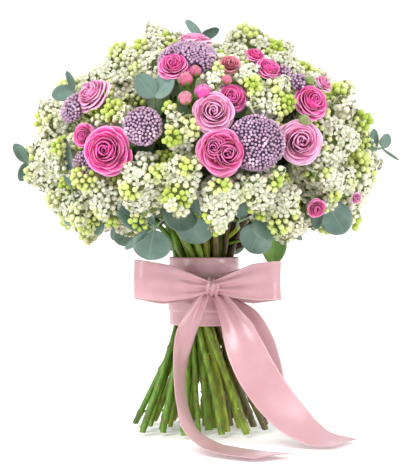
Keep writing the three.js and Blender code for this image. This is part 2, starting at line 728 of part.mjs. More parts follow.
const leftTail = {
  centres: points3([
    [2, -46, 136], [-9, -54, 114], [-18, -62, 94], [-22.5, -74, 72], [-22, -88, 50], [-18, -104, 31],
    [-10, -122, 15], [5, -140, 5], [22, -155, 1.6], [42, -168, 0.7], [62, -180, 0.7],
  ]),
  guides: points3([
    [-0.75, -0.4, 0.3], [-0.62, -0.75, 0.2], [-0.25, -0.95, 0], [-0.15, -0.97, 0], [-0.2, -0.97, 0],
    [-0.35, -0.93, 0], [-0.5, -0.87, 0],
  ]),
  halves: [5, 10, 15, 18, 19, 19, 19, 19, 19, 19, 19],
  skew: -9,
};
const rightTail = {
  centres: points3([
    [12, -46, 136], [23, -62, 118], [32, -75, 101], [39.5, -85, 83], [50.5, -93, 61], [66, -100, 39],
    [83, -105, 21], [97, -108, 11], [114, -108, 3.5], [131, -105, 0.7],
  ]),
  guides: points3([
    [0.8, 0, 0.6], [0.87, 0.05, 0.5], [0.85, 0.25, 0.45], [0.6, 0.7, 0.3], [0.3, 0.95, 0],
  ]),
  halves: [5, 10, 15.5, 18, 19, 19, 19, 19, 19, 19],
  skew: 17,
};
const rearTail = {
  centres: points3([
    [18, -40, 126], [32, -45, 117], [43, -50, 106], [51, -58, 87], [56, -65, 68], [60, -71, 50],
  ]),
  guides: points3([[0.6, 0.1, 0.75], [0.85, 0.15, 0.5], [0.9, 0.2, 0.35]]),
  halves: [7, 11, 14, 17, 18, 18],
  skew: -10,
};

// Each loop goes out in front of the wrap and comes back behind itself
const loops = [
  {
    centres: points3([
      [6, -50, 141], [-12, -57, 142], [-34, -64, 145], [-56, -64, 148], [-66, -55, 149],
      [-60, -45, 148], [-38, -41, 145], [-14, -41, 142], [4, -41, 141],
    ]),
    halves: [5, 12, 17.5, 18.5, 18.5, 18.5, 18.5, 13, 6],
  },
  {
    centres: points3([
      [8, -50, 141], [28, -57, 143], [48, -63, 146], [66, -62, 147.5], [74, -54, 147.5],
      [66, -45, 147], [46, -41, 145], [24, -41, 142], [10, -41, 141],
    ]),
    halves: [5, 12, 17.5, 18.5, 18.5, 18.5, 18.5, 13, 6],
  },
];

function bow(grow = 0) {
  const knot = turnedBody(knotCentre, vec(1, 0, -0.25), 1, [
    [0, -9 - grow], [6 + grow, -8 - grow], [8.6 + grow, -3], [8.6 + grow, 3], [6 + grow, 8 + grow],
    [0, 9 + grow],
  ], 8);
  const upright = points3([[0, 0, 1], [0, 0, 1]]);
  const hanging = ({ centres, guides, halves, skew }) => band(centres, guides, halves, 12, skew, grow);
  return fused([
    knot,
    ...loops.map(({ centres, halves }) => band(centres, upright, halves, 12, 0, grow)),
    ...[leftTail, rightTail].map(hanging),
  ]);
}

// The wrap's two turns overlap: the upper one lies over the lower
const wrapInside = 33.7;
const wrapOutside = 35;
const overlap = 137;
function wrapRing(grow = 0) {
  return lathed([
    [wrapInside - grow, wrapBottom - grow], [wrapOutside - 0.5 + grow, wrapBottom - grow],
    [wrapOutside - 0.3 + grow, overlap - 4], [wrapOutside + 0.4 + grow, overlap],
    [wrapOutside + grow, wrapTop + grow], [wrapInside - grow, wrapTop + grow],
    [wrapInside - grow, wrapBottom - grow],
  ], 20);
}

const twine = lathed([[31.9, 134], [32.9, 134], [32.9, 142], [31.9, 142], [31.9, 134]], tieSides);

// The bouquet

const colours = {
  stem: 0x6f9a3c, lilac: 0xeceede, rose: 0xd94a93, purple: 0xa687b5,
  eucalyptus: 0x7d9c92, leaf: 0x5f8a35, ribbon: 0xdd9aa3, twine: 0xb39a6a,
};

const bouquet = new THREE.Group();

function addNode(name, solid, kind, roughness = 0.7) {
  const { vertProperties, triVerts } = solid.getMesh();
  const geometry = new THREE.BufferGeometry();
  geometry.setAttribute('position', new THREE.BufferAttribute(vertProperties, 3));
  geometry.setIndex(new THREE.BufferAttribute(triVerts, 1));
  geometry.computeVertexNormals();
  const material = new THREE.MeshStandardMaterial({ color: colours[kind], roughness, metalness: 0 });
  const mesh = new THREE.Mesh(geometry, material);
  mesh.name = name;
  bouquet.add(mesh);
}

const taken = stemSolids(gap);
function trimmed(solid) {
  const meeting = taken.filter((room) => boxesMeet(room, solid));
  return largestBody((meeting.length ? solid.subtract(fused(meeting)) : solid).simplify(0.1));
}

// Two lilac branches that meet part at the planes halfway between their heads' middles, and a
// bloom keeps them off at the plane that touches its ball
function parted(head, others, balls) {
  let { solid } = head;
  const cut = (from, beyond) => {
    const away = head.middle.clone().sub(from).normalize();
    solid = solid.trimByPlane(away.toArray(), beyond(away));
  };
  for (const other of others.filter((one) => boxesMeet(one.solid, head.solid))) {
    const halfway = head.middle.clone().add(other.middle).multiplyScalar(0.5);
    cut(other.middle, (away) => halfway.dot(away) + gap / 2);
  }
  for (const { centre, radius, room } of balls.filter((ball) => boxesMeet(ball.room, head.solid))) {
    if (centre.distanceTo(head.middle) > radius + keepFromMiddle) {
      cut(centre, (away) => centre.dot(away) + radius);
    } else {
      solid = solid.subtract(room);
    }
  }
  return solid;
}

const wholeStems = fused([pressed, ...stemSolids(0)]).trimByPlane([0, 0, 1], 0);
addNode('stems', largestBody(wholeStems.simplify(0.2)), 'stem', 0.6);
addNode('binding_twine', twine, 'twine', 0.9);
addNode('ribbon_wrap', wrapRing(), 'ribbon', 0.4);
taken.push(wrapRing(gap));
addNode('ribbon_bow', trimmed(bow()).trimByPlane([0, 0, 1], 0), 'ribbon', 0.4);
taken.push(bow(gap));
const { centres, guides, halves, skew } = rearTail;
addNode('ribbon_rear_tail', trimmed(band(centres, guides, halves, 8, skew)), 'ribbon', 0.4);
taken.push(band(centres, guides, halves, 8, skew, gap));

const balls = [];
for (const head of heads.filter((one) => one.kind !== 'lilac')) {
  const before = balls.filter((ball) => boxesMeet(ball.room, head.solid)).map((ball) => ball.room);
  const clear = before.length ? head.solid.subtract(fused(before)) : head.solid;
  addNode(head.name, trimmed(clear), head.kind);
  balls.push(...(head.balls ?? []));
  if (head.room) {
    taken.push(head.room);
  }
}
const lilacHeads = heads.filter((one) => one.kind === 'lilac');
const branchOf = (head) => head.partOf ?? head.name;
for (const first of lilacHeads.filter((head) => !head.partOf)) {
  const own = lilacHeads.filter((head) => branchOf(head) === first.name);
  const foreign = lilacHeads.filter((head) => branchOf(head) !== first.name);
  addNode(first.name, trimmed(fused(own.map((head) => parted(head, foreign, balls)))), 'lilac');
}

export default bouquet;
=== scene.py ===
import json
import math
import random

import bpy
import numpy as np
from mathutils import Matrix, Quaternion, Vector

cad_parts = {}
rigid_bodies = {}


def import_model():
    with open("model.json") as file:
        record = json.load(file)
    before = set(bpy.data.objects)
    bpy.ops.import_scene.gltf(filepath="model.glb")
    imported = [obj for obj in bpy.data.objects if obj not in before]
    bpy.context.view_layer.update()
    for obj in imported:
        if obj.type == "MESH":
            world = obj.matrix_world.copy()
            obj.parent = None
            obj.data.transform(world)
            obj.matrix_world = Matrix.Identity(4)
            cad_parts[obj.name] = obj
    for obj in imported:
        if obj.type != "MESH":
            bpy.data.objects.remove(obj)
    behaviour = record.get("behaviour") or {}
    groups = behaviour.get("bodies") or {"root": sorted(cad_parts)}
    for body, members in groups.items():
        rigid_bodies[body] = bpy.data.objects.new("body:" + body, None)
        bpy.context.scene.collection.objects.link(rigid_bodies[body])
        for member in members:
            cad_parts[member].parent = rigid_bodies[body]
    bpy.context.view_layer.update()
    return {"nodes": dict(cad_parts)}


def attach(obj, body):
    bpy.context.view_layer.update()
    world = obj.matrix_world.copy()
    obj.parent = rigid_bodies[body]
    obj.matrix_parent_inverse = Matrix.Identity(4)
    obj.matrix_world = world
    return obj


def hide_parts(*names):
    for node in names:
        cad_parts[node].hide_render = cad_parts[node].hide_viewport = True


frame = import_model()

# Sizes are in millimetres and become metres where a mesh is made. The trees of nodes take metres
metres = 0.001
up = Vector((0, 0, 1))
goldenAngle = math.radians(137.508)
# The upper end of a turn drawn at random, in radians
anyTurn = 6.28

# The dome of flowers, and the point that the flowers' places were sighted from
dome = {"centre": 256, "radius": 172, "rise": 148, "drop": 95, "tries": 40, "inwards": 0.98}
sight = Vector((4, -1300, 193))


# Places

def polar(radius, angle, z):
    return Vector((radius * math.cos(angle), radius * math.sin(angle), z))


def domeHeight(z, sink=0):
    return (dome["rise"] if z >= dome["centre"] else dome["drop"]) - sink


def sighted(x, z, y=0):
    reach = (y - sight.y) / -sight.y
    return Vector((sight.x + (x - sight.x) * reach, y, sight.z + (z - sight.z) * reach))


def onDome(x, z, sink=0):
    wide = dome["radius"] - sink
    tall = domeHeight(z, sink)
    px, pz = x, z
    for _ in range(dome["tries"]):
        start = Vector((sight.x / wide, sight.y / wide, (sight.z - dome["centre"]) / tall))
        ray = Vector((px / wide, 0, (pz - dome["centre"]) / tall)) - start
        half = start.dot(ray)
        root = half * half - ray.length_squared * (start.length_squared - 1)
        if root >= 0:
            hit = start + ray * ((-half - math.sqrt(root)) / ray.length_squared)
            return Vector((hit.x * wide, hit.y * wide, dome["centre"] + hit.z * tall))
        # This sight line passes beside the dome, so the next is nearer to its middle
        px *= dome["inwards"]
        pz = dome["centre"] + (pz - dome["centre"]) * dome["inwards"]
    return sighted(px, pz)


def behindDome(azimuth, z, sink=0):
    tall = domeHeight(z, sink)
    wide = (dome["radius"] - sink) * math.sqrt(1 - ((z - dome["centre"]) / tall) ** 2)
    return polar(wide, math.radians(azimuth), z)


def facing(point, lean):
    tall = domeHeight(point.z)
    outward = Vector((
        point.x / dome["radius"] ** 2,
        point.y / dome["radius"] ** 2,
        (point.z - dome["centre"]) / tall ** 2,
    )).normalized()
    viewer = (sight - point).normalized()
    return outward.lerp(viewer, lean).normalized()


def frameAlong(axis):
    along = axis.normalized()
    hint = Vector((0, 1, 0)) if abs(along.z) > 0.9 else up
    across = hint.cross(along).normalized()
    return across, along.cross(across), along


def spotsAround(centre, axis, size):
    # Gives places about an axis, in units of the size: how far out, at what turn and how high
    across, upward, along = frameAlong(axis)

    def spot(out, turn, high):
        return (
            centre + across * (out * size * math.cos(turn)) + upward * (out * size * math.sin(turn))
            + along * (high * size)
        )

    return spot


def evenly(count):
    return [i / (count - 1) for i in range(count)]


# Meshes

class Shape:
    # Points, faces and what each point carries, gathered before one mesh is made of them
    def __init__(self):
        self.points = []
        self.faces = []
        self.uvs = []
        self.shades = []
        self.slots = []

    def grid(self, rows, uvs, shade=0.0, closed=False, slot=0):
        first = len(self.points)
        columns = len(rows[0])
        for row, uvRow in zip(rows, uvs):
            self.points.extend(row)
            self.uvs.extend(uvRow)
            self.shades.extend([shade] * columns)
        last = columns if closed else columns - 1
        for i in range(len(rows) - 1):
            for j in range(last):
                a = first + i * columns + j
                b = first + i * columns + (j + 1) % columns
                self.faces.append((a, b, b + columns, a + columns))
                self.slots.append(slot)

    def fan(self, centre, ring, shade=0.0, slot=0):
        first = len(self.points)
        self.points.extend([centre, *ring])
        self.uvs.extend([(0.5, 0.5)] * (len(ring) + 1))
        self.shades.extend([shade] * (len(ring) + 1))
        for j in range(len(ring)):
            self.faces.append((first, first + 1 + j, first + 1 + (j + 1) % len(ring)))
            self.slots.append(slot)

    def patch(self, levels, columns, place, shade=0.0, slot=0):
        # place gives the point at u, from -1 to 1 across, and at v, each of the levels along
        across = [2 * s - 1 for s in evenly(columns)]
        rows = [[place(u, v) for u in across] for v in levels]
        self.grid(rows, [[(0.5 + 0.5 * u, v) for u in across] for v in levels], shade, slot=slot)
        return rows

    def turned(self, spot, profile, sides, foot, tip=None, shade=0.0):
        # Steps out and up, turned about an axis and closed at the foot and, where it has one, the tip
        turns = [2 * math.pi * k / sides for k in range(sides)]
        rows = [[spot(out, turn, high) for turn in turns] for out, high in profile]
        self.grid(rows, [[(k / sides, 0.5) for k in range(sides)]] * len(rows), shade, closed=True)
        self.fan(spot(0, 0, foot), rows[0][::-1], shade)
        if tip is not None:
            self.fan(spot(0, 0, tip), rows[-1], shade)


def linked(name, data):
    thing = bpy.data.objects.new(name, data)
    bpy.context.scene.collection.objects.link(thing)
    return thing


def makeObject(name, shape, looks=()):
    mesh = bpy.data.meshes.new(name)
    mesh.from_pydata([point * metres for point in shape.points], [], shape.faces)
    uvLayer = mesh.uv_layers.new(name="UVMap")
    corners = np.zeros(len(mesh.loops), dtype=np.int32)
    mesh.loops.foreach_get("vertex_index", corners)
    uvLayer.data.foreach_set("uv", np.array(shape.uvs, dtype=np.float32)[corners].ravel())
    shade = mesh.attributes.new("shade", "FLOAT", "POINT")
    shade.data.foreach_set("value", np.array(shape.shades, dtype=np.float32))
    mesh.polygons.foreach_set("material_index", np.array(shape.slots, dtype=np.int32))
    mesh.polygons.foreach_set("use_smooth", [True] * len(mesh.polygons))
    for look in looks:
        mesh.materials.append(materials[look])
    mesh.update()
    return linked(name, mesh)


def addPiece(piece, node):
    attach(piece, "root")
    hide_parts(node)
    return piece


def build(name, shape, looks, node):
    # A finished piece in these materials, in the place of a node of the frame
    return addPiece(makeObject(name, shape, looks), node)


def thicken(piece, thickness):
    solidify = piece.modifiers.new("Thickness", "SOLIDIFY")
    solidify.thickness = thickness * metres
    solidify.offset = 0


def smoothPath(points, perSpan):
    # A curve through the points, by Catmull and Rom's rule
    ends = [points[0] * 2 - points[1], *points, points[-1] * 2 - points[-2]]
    line = []
    for i in range(1, len(ends) - 2):
        before, start, end, after = ends[i - 1:i + 3]
        for step in range(perSpan):
            t = step / perSpan
            line.append(0.5 * (
                2 * start + (end - before) * t
                + (2 * before - 5 * start + 4 * end - after) * t ** 2
                + (3 * start - before - 3 * end + after) * t ** 3
            ))
    line.append(points[-1].copy())
    return line


def tube(shape, line, radii, sides, shade=0.0, capSlot=0, marks=None):
    # Round sections along a line, with a mark on each section where marks are given
    across = frameAlong(line[1] - line[0])[0]
    turns = [2 * math.pi * k / sides for k in range(sides)]
    rows = []
    uvs = []
    length = 0
    for i, point in enumerate(line):
        length += (point - line[i - 1]).length if i else 0
        ahead = (line[min(i + 1, len(line) - 1)] - line[max(i - 1, 0)]).normalized()
        across = (across - ahead * across.dot(ahead)).normalized()
        side = ahead.cross(across)
        rows.append([point + (across * math.cos(a) + side * math.sin(a)) * radii[i] for a in turns])
        uvs.append([(k / sides if marks is None else marks[i], length * 0.01) for k in range(sides)])
    shape.grid(rows, uvs, shade, closed=True)
    shape.fan(line[0], rows[0][::-1], shade, capSlot)
    shape.fan(line[-1], rows[-1], shade, capSlot)


# Materials

def srgb(code):
    values = [int(code[i:i + 2], 16) / 255 for i in (1, 3, 5)]
    return tuple(v / 12.92 if v <= 0.04045 else ((v + 0.055) / 1.055) ** 2.4 for v in values) + (1,)


def setInputs(tree, node, inputs):
    # A value or a link for each input, by its name or its place
    for key, value in inputs.items():
        if isinstance(value, bpy.types.NodeSocket):
            tree.links.new(value, node.inputs[key])
        else:
            node.inputs[key].default_value = value


def addNode(tree, kind, inputs=None, **settings):
    node = tree.nodes.new(kind)
    for key, value in settings.items():
        setattr(node, key, value)
    setInputs(tree, node, inputs or {})
    return node


def newMaterial(name, roughness, sheen=0.0, subsurface=0.0):
    material = bpy.data.materials.new(name)
    material.use_nodes = True
    tree = material.node_tree
    shader = tree.nodes["Principled BSDF"]
    setInputs(tree, shader, {
        "Roughness": roughness, "Sheen Weight": sheen, "Subsurface Weight": subsurface,
        "Subsurface Radius": (0.004, 0.003, 0.002), "Subsurface Scale": 1.0,
    })
    return material, tree, shader


def ramp(tree, factor, stops):
    node = addNode(tree, "ShaderNodeValToRGB", {"Fac": factor})
    elements = node.color_ramp.elements
    while len(elements) < len(stops):
        elements.new(0.5)
    for element, (position, colour) in zip(elements, stops):
        element.position = position
        element.color = srgb(colour)
    return node.outputs["Color"]


def attribute(tree, name):
    return addNode(tree, "ShaderNodeAttribute", attribute_name=name).outputs["Fac"]


def uvOf(tree):
    return addNode(tree, "ShaderNodeUVMap", uv_map="UVMap").outputs["UV"]


def uvPart(tree, part):
    return addNode(tree, "ShaderNodeSeparateXYZ", {"Vector": uvOf(tree)}).outputs[part]


def noise(tree, scale, detail=2.0, stretch=(1, 1, 1)):
    place = addNode(tree, "ShaderNodeTexCoord").outputs["Object"]
    mapped = addNode(tree, "ShaderNodeMapping", {"Vector": place, "Scale": stretch}).outputs["Vector"]
    inputs = {"Vector": mapped, "Scale": scale, "Detail": detail}
    return addNode(tree, "ShaderNodeTexNoise", inputs).outputs["Fac"]


def mixed(tree, factor, first, second, blend="MIX"):
    inputs = {0: factor, 6: first, 7: second}
    return addNode(tree, "ShaderNodeMix", inputs, data_type="RGBA", blend_type=blend).outputs[2]


def calculated(tree, operation, first, second=0.0, clamp=False):
    inputs = {0: first, 1: second}
    return addNode(tree, "ShaderNodeMath", inputs, operation=operation, use_clamp=clamp).outputs[0]


def bumped(tree, height, strength, distance):
    inputs = {"Strength": strength, "Distance": distance, "Height": height}
    return addNode(tree, "ShaderNodeBump", inputs).outputs["Normal"]


def petalMaterial(name, deep, body, rim, pale):
    # Deep at the foot of a petal, lighter to its rim, and shaded by how far in the petal sits
    material, tree, shader = newMaterial(name, 0.5, sheen=0.3, subsurface=0.35)
    height = uvPart(tree, 1)
    outer = ramp(tree, height, [(0.35, deep), (0.62, body), (0.86, body), (1.0, rim)])
    inner = ramp(tree, height, [(0.45, deep), (0.78, body), (0.93, body), (1.0, pale)])
    colour = mixed(tree, attribute(tree, "shade"), outer, inner)
    soft = ramp(tree, noise(tree, 90), [(0.3, "#ebe4e8"), (0.7, "#ffffff")])
    veins = addNode(tree, "ShaderNodeTexWave", {"Vector": uvOf(tree), "Scale": 7, "Distortion": 3})
    setInputs(tree, shader, {
        "Base Color": mixed(tree, 1.0, colour, soft, "MULTIPLY"),
        "Normal": bumped(tree, veins.outputs["Fac"], 0.2, 0.0004),
    })
    return material


def floretMaterial(name, stops, centre, faded):
    # From open and white to closed and green by the ripeness that each floret carries
    material, tree, shader = newMaterial(name, 0.5, subsurface=0.3)
    ripeness = ramp(tree, attribute(tree, "ripeness"), stops)
    throat = ramp(tree, uvPart(tree, 1), [(0.0, centre), (0.3, "#ffffff")])
    colour = mixed(tree, 1.0, ripeness, throat, "MULTIPLY")
    # Whole sprays have faded a little
    patches = ramp(tree, noise(tree, 22), [(0.5, "#000000"), (0.7, "#606060")])
    setInputs(tree, shader, {"Base Color": mixed(tree, patches, colour, srgb(faded))})
    return material


def stemMaterial():
    material, tree, shader = newMaterial("Stem bark", 0.4)
    # Green through yellow-green to dark brown by the shade attribute; the dark brown end, reached by the
    # stems at the back, is partly painted shade
    greensBrownsAndShade = ramp(tree, attribute(tree, "shade"), [
        (0.0, "#679628"), (0.3, "#85a428"), (0.55, "#a3b42c"), (0.75, "#757628"), (1.0, "#5b4632"),
    ])
    streaks = ramp(tree, noise(tree, 260, 4, (1, 1, 0.12)), [(0.3, "#9a9a80"), (0.62, "#ffffff")])
    spots = ramp(tree, noise(tree, 300), [(0.66, "#000000"), (0.74, "#ffffff")])
    # Brown scars ring the nodes
    scars = ramp(tree, uvPart(tree, 0), [(0.35, "#000000"), (0.85, "#b0b0b0")])
    colour = mixed(tree, 1.0, greensBrownsAndShade, streaks, "MULTIPLY")
    colour = mixed(tree, spots, colour, srgb("#8a7a4a"))
    setInputs(tree, shader, {
        "Base Color": mixed(tree, scars, colour, srgb("#7d6238")),
        "Normal": bumped(tree, noise(tree, 420, 4, (1, 1, 0.15)), 0.35, 0.0006),
    })
    return material


def asideOf(tree):
    # How far from the middle of its width, from 0 to a half
    return calculated(tree, "ABSOLUTE", calculated(tree, "SUBTRACT", uvPart(tree, 0), 0.5))


def leafMaterial(name, light, body, dark, rim, roughness):
    material, tree, shader = newMaterial(name, roughness)

    def times(first, second):
        return calculated(tree, "MULTIPLY", first, second)

    aside = asideOf(tree)
    patches = ramp(tree, noise(tree, 45, 3), [(0.25, dark), (0.5, body), (0.8, light)])
    midrib = ramp(tree, aside, [(0.0, "#ffffff"), (0.02, "#7c7c7c"), (0.05, "#000000")])
    edge = ramp(tree, aside, [(0.455, "#000000"), (0.49, "#ffffff")])
    slanted = calculated(tree, "SUBTRACT", uvPart(tree, 1), times(aside, 0.7))
    waves = calculated(tree, "SINE", times(slanted, 62))
    sideVeins = calculated(tree, "POWER", calculated(tree, "ABSOLUTE", waves), 10)
    colour = mixed(tree, times(midrib, 0.6), patches, srgb(light))
    colour = mixed(tree, times(sideVeins, 0.22), colour, srgb(light))
    setInputs(tree, shader, {
        "Base Color": mixed(tree, times(edge, 0.5), colour, srgb(rim)),
        "Normal": bumped(tree, waves, 0.15, 0.0003),
    })
    return material


def satinMaterial():
    material, tree, shader = newMaterial("Satin ribbon", 0.27, sheen=0.15)
    selvedge = ramp(tree, asideOf(tree), [(0.46, "#000000"), (0.475, "#ffffff")])
    weave = ramp(tree, noise(tree, 30), [(0.3, "#c4939a"), (0.7, "#cfa1a8")])
    colour = mixed(tree, calculated(tree, "MULTIPLY", selvedge, 0.45), weave, srgb("#e3bcc0"))
    threads = calculated(tree, "SINE", calculated(tree, "MULTIPLY", uvPart(tree, 0), 340))
    setInputs(tree, shader, {
        "Base Color": colour, "Anisotropic": 0.55, "Sheen Roughness": 0.35, "Specular IOR Level": 0.55,
        "Coat Weight": 0.35, "Coat Roughness": 0.24, "Normal": bumped(tree, threads, 0.06, 0.0002),
    })
    return material


def plainMaterial(name, colour, roughness=0.8, glow=0.0):
    material, tree, shader = newMaterial(name, roughness)
    setInputs(tree, shader, {
        "Base Color": srgb(colour), "Emission Color": (1, 1, 1, 1), "Emission Strength": glow,
    })
    return material


materials = {
    "hotPink": petalMaterial("Hot pink petals", "#e62490", "#fa4fb0", "#fbb2d6", "#fc8cc8"),
    "softPink": petalMaterial("Soft pink petals", "#ea70ae", "#f99fd0", "#fcd3e6", "#fbc0de"),
    "magenta": petalMaterial("Magenta petals", "#d83588", "#f265ae", "#f8aed2", "#f792c6"),
    "salmon": petalMaterial("Salmon petals", "#cf4f70", "#e8839a", "#f2b3b0", "#efa3a6"),
    "pinkBud": petalMaterial("Pink buds", "#c23a62", "#e2688f", "#f0a8a6", "#ea8f9c"),
    "greenBud": petalMaterial("Closed green buds", "#6d8a3f", "#93a857", "#b4ba72", "#aab868"),
    "calyx": plainMaterial("Calyx green", "#6d8f3c", 0.6),
    "lilac": floretMaterial("Lilac florets", [
        (0.0, "#e0dfcb"), (0.25, "#dadcae"), (0.5, "#cdd884"), (0.75, "#b9cb59"), (1.0, "#a2bb45"),
    ], "#cfd898", "#dfcfa4"),
    "lilacCore": plainMaterial("Lilac branchlets", "#77834c", 0.85),
    "mauve": floretMaterial("Mauve buds", [
        (0.0, "#b090ad"), (0.5, "#c4a4be"), (1.0, "#d8bed2"),
    ], "#b9a2bb", "#cfabbb"),
    "mauveCore": plainMaterial("Mauve head shade", "#57435a", 0.9),
    "eucalyptus": leafMaterial("Eucalyptus leaf", "#869f95", "#627e73", "#4a655b", "#8f8379", 0.55),
    # Real leaves inside the dome, whose dark greens are painted shade for the shaded underside
    "shadeDarkInnerLeaf": leafMaterial("Inner leaf", "#566f3c", "#3d582c", "#2d4523", "#4c6534", 0.5),
    "leaf": leafMaterial("Broad leaf", "#86ab4e", "#5c8836", "#456f2b", "#6f9440", 0.38),
    "twig": plainMaterial("Eucalyptus twig", "#7f9579", 0.6),
    "stem": stemMaterial(),
    "stemCut": plainMaterial("Cut stem ends", "#b9b878", 0.85),
    "satin": satinMaterial(),
    "twine": plainMaterial("Jute twine", "#a98c5c", 0.95),
    "floor": plainMaterial("White floor", "#f8f8f7", 0.9, glow=0.18),
}
print("materials made")


# Roses: x and z as sighted, then radius, lean towards the viewer, sink into the dome and, for one that
# stands off the dome, y. Places on the far side are azimuth, z and radius

roses = {
    "rose_left": {
        "blooms": [(-96, 275, 21.5, 0.5), (-119, 290, 11.5, 0.4, 0.9)], "colours": ["hotPink", "hotPink"],
    },
    "rose_upper_left": {"blooms": [(-110, 330, 17, 0.05, 0.5)], "colours": ["softPink"], "on": "rose_left"},
    "rose_crown": {"blooms": [(-10, 381, 18, -0.1, 0, -52)], "colours": ["softPink"]},
    "rose_centre_pair": {
        "blooms": [(9, 313, 18.5, 0.35), (27, 327, 14, 0.3, 1)], "colours": ["softPink", "hotPink"],
    },
    "rose_heart": {
        "blooms": [(17, 274, 20.5, 0.55)], "colours": ["magenta"],
        "whorls": [(-0.3, 0.2, 0.46), (0.3, -0.08, 0.6)],
    },
    "rose_right": {"blooms": [(95, 284, 20, 0.6)], "colours": ["softPink"]},
    "rose_far_right_pair": {
        "blooms": [(106, 323, 17, 0.25), (119, 342, 9, 0.1, 0.7)],
        "buds": [(101, 306, 6.5, 0.3, -0.3), (106, 346, 5.5, 0.2, -0.3)],
        "colours": ["hotPink", "softPink"],
        "budColours": ["greenBud", "greenBud"],
    },
    "rose_top_right_spray": {
        "blooms": [(64, 356, 12, 0.1), (51, 370, 9, 0), (26, 361, 9.5, 0.3, 0.7)],
        "buds": [(23, 347, 6, -0.3)],
        "colours": ["hotPink", "hotPink", "salmon"],
        "budColours": ["pinkBud"],
    },
    "rose_low_right_spray": {
        "blooms": [(112, 218, 9, 0.5), (152, 228, 5.5, 0.5)], "colours": ["magenta", "softPink"],
        "on": "rose_right",
    },
    "rose_top_left_spray": {
        "blooms": [(-30, 359, 14, 0.15, 0)],
        "buds": [(-19, 348, 8.5, -0.35), (-9, 356, 7, -0.2), (-19, 329, 8, -0.2), (-1, 335, 9.5, -0.1)],
        "colours": ["hotPink"],
        "budColours": ["pinkBud", "pinkBud", "salmon", "hotPink"],
    },
    "rose_back_right": {"places": [(28, 268, 23)], "colours": ["hotPink"]},
    "rose_back_middle": {"places": [(77, 268, 23)], "colours": ["softPink"]},
    "rose_back_top": {"places": [(100, 328, 22)], "colours": ["hotPink"]},
    "rose_back_left": {"places": [(154, 322, 22)], "colours": ["softPink"]},
}

# Each layer of petals in units of the bloom's radius: how far out and how high it stands half way
# and at its rim, the rim's curl, petals, half the angle that a petal covers, and how far in it counts as
roseLayers = [
    (0.80, -0.04, 1.00, 0.06, 0.12, 5, 0.88, 0.0),
    (0.72, 0.10, 0.90, 0.26, 0.12, 5, 0.84, 0.05),
    (0.62, 0.22, 0.76, 0.38, 0.08, 4, 0.98, 0.2),
    (0.56, 0.33, 0.61, 0.47, 0.03, 4, 1.0, 0.45),
    (0.48, 0.40, 0.46, 0.53, 0.0, 4, 1.0, 0.6),
    (0.37, 0.43, 0.31, 0.56, 0.0, 3, 1.25, 0.75),
    (0.24, 0.44, 0.17, 0.55, 0.0, 3, 1.3, 0.88),
    (0.12, 0.43, 0.06, 0.52, 0.0, 2, 1.75, 1.0),
]
smallRoseLayers = [roseLayers[0], roseLayers[1], roseLayers[3], roseLayers[5], roseLayers[6]]
# A bud's layers: radius, height of the rim, petals, half the angle of each and how far in it counts as
budLayers = [(0.8, 0.74, 3, 1.3, 0.0), (0.7, 0.84, 3, 1.3, 0.35), (0.5, 0.88, 3, 1.3, 0.8)]
petal = {
    "rows": 10, "columns": 11, "foot": -0.86, "footOut": 0.07, "middle": 0.55, "corner": 0.2,
    "roundness": 2.2, "curlFrom": 0.8, "curlOut": 0.6, "curlDown": 0.7, "overlap": 0.05, "ruffle": 0.025,
    "dip": 0.03, "spread": (-0.045, 0.045), "lift": (-0.05, 0.04), "skew": (-0.06, 0.06),
    "aside": (-0.2, 0.2),
}
wrappedBud = {"foot": -0.95, "corner": 0.16, "overlap": 0.09}
calyx = {"sides": 10, "sepals": 5, "sepalRows": 5, "shade": 0.3, "foot": -0.98, "budHug": 0.87}
calyxProfile = [(0.14, -0.97), (0.24, -0.9), (0.27, -0.8), (0.2, -0.74)]
placing = {"lean": 0.3, "sink": 0.45, "budSink": 0.2, "farSink": 0.4}
stalk = {
    "seat": 0.95, "joint": 12, "fork": 6, "root": 8, "bow": 0.3, "radius": 1.3, "perSpan": 4, "sides": 8,
}
# Blooms above this radius have every layer of petals
fullBloom = 11


def throughThree(first, middle, last, t):
    # A value that passes these three at 0, at the petal's middle and at 1
    at = petal["middle"]
    return (
        first * ((t - at) * (t - 1) / at)
        + middle * (t * (1 - t) / (at * (1 - at)))
        + last * (t * (t - at) / (1 - at))
    )


def addPetal(shape, bloom, layer, turn, chance, slot):
    middleOut, middleHigh, rimOut, rimHigh, curl, _, halfAngle, inward = layer
    spot = spotsAround(*bloom)
    wave = chance.uniform(0, anyTurn)
    spread = chance.uniform(*petal["spread"]) * (0.4 + rimOut)
    lift = chance.uniform(*petal["lift"])
    skew = chance.uniform(*petal["skew"])

    def petalSpot(u, v):
        reach = v * (1 - petal["corner"] * abs(u) ** petal["roundness"])
        rolled = curl * (max(0, reach - petal["curlFrom"]) / (1 - petal["curlFrom"])) ** 2
        out = throughThree(petal["footOut"], middleOut, rimOut + spread, reach) + rolled * petal["curlOut"]
        out += (petal["overlap"] + skew) * u * v + petal["ruffle"] * math.sin(4 * u + wave) * v ** 3
        high = throughThree(petal["foot"], middleHigh, rimHigh + lift, reach) - rolled * petal["curlDown"]
        high += petal["dip"] * math.cos(4.5 * u + wave) * v ** 4
        widening = 0.35 + 0.65 * math.sin(math.pi * min(0.5, 0.6 * v + 0.03))
        return spot(out, turn + u * halfAngle * widening, high)

    shape.patch(evenly(petal["rows"]), petal["columns"], petalSpot, inward, slot)


def addBloom(shape, bloom, layers, chance, slot):
    twist = chance.uniform(0, anyTurn)
    for index, layer in enumerate(layers):
        count = layer[5]
        for number in range(count):
            aside = (number + chance.uniform(*petal["aside"])) * 2 * math.pi / count
            addPetal(shape, bloom, layer, twist + index * goldenAngle + aside, chance, slot)


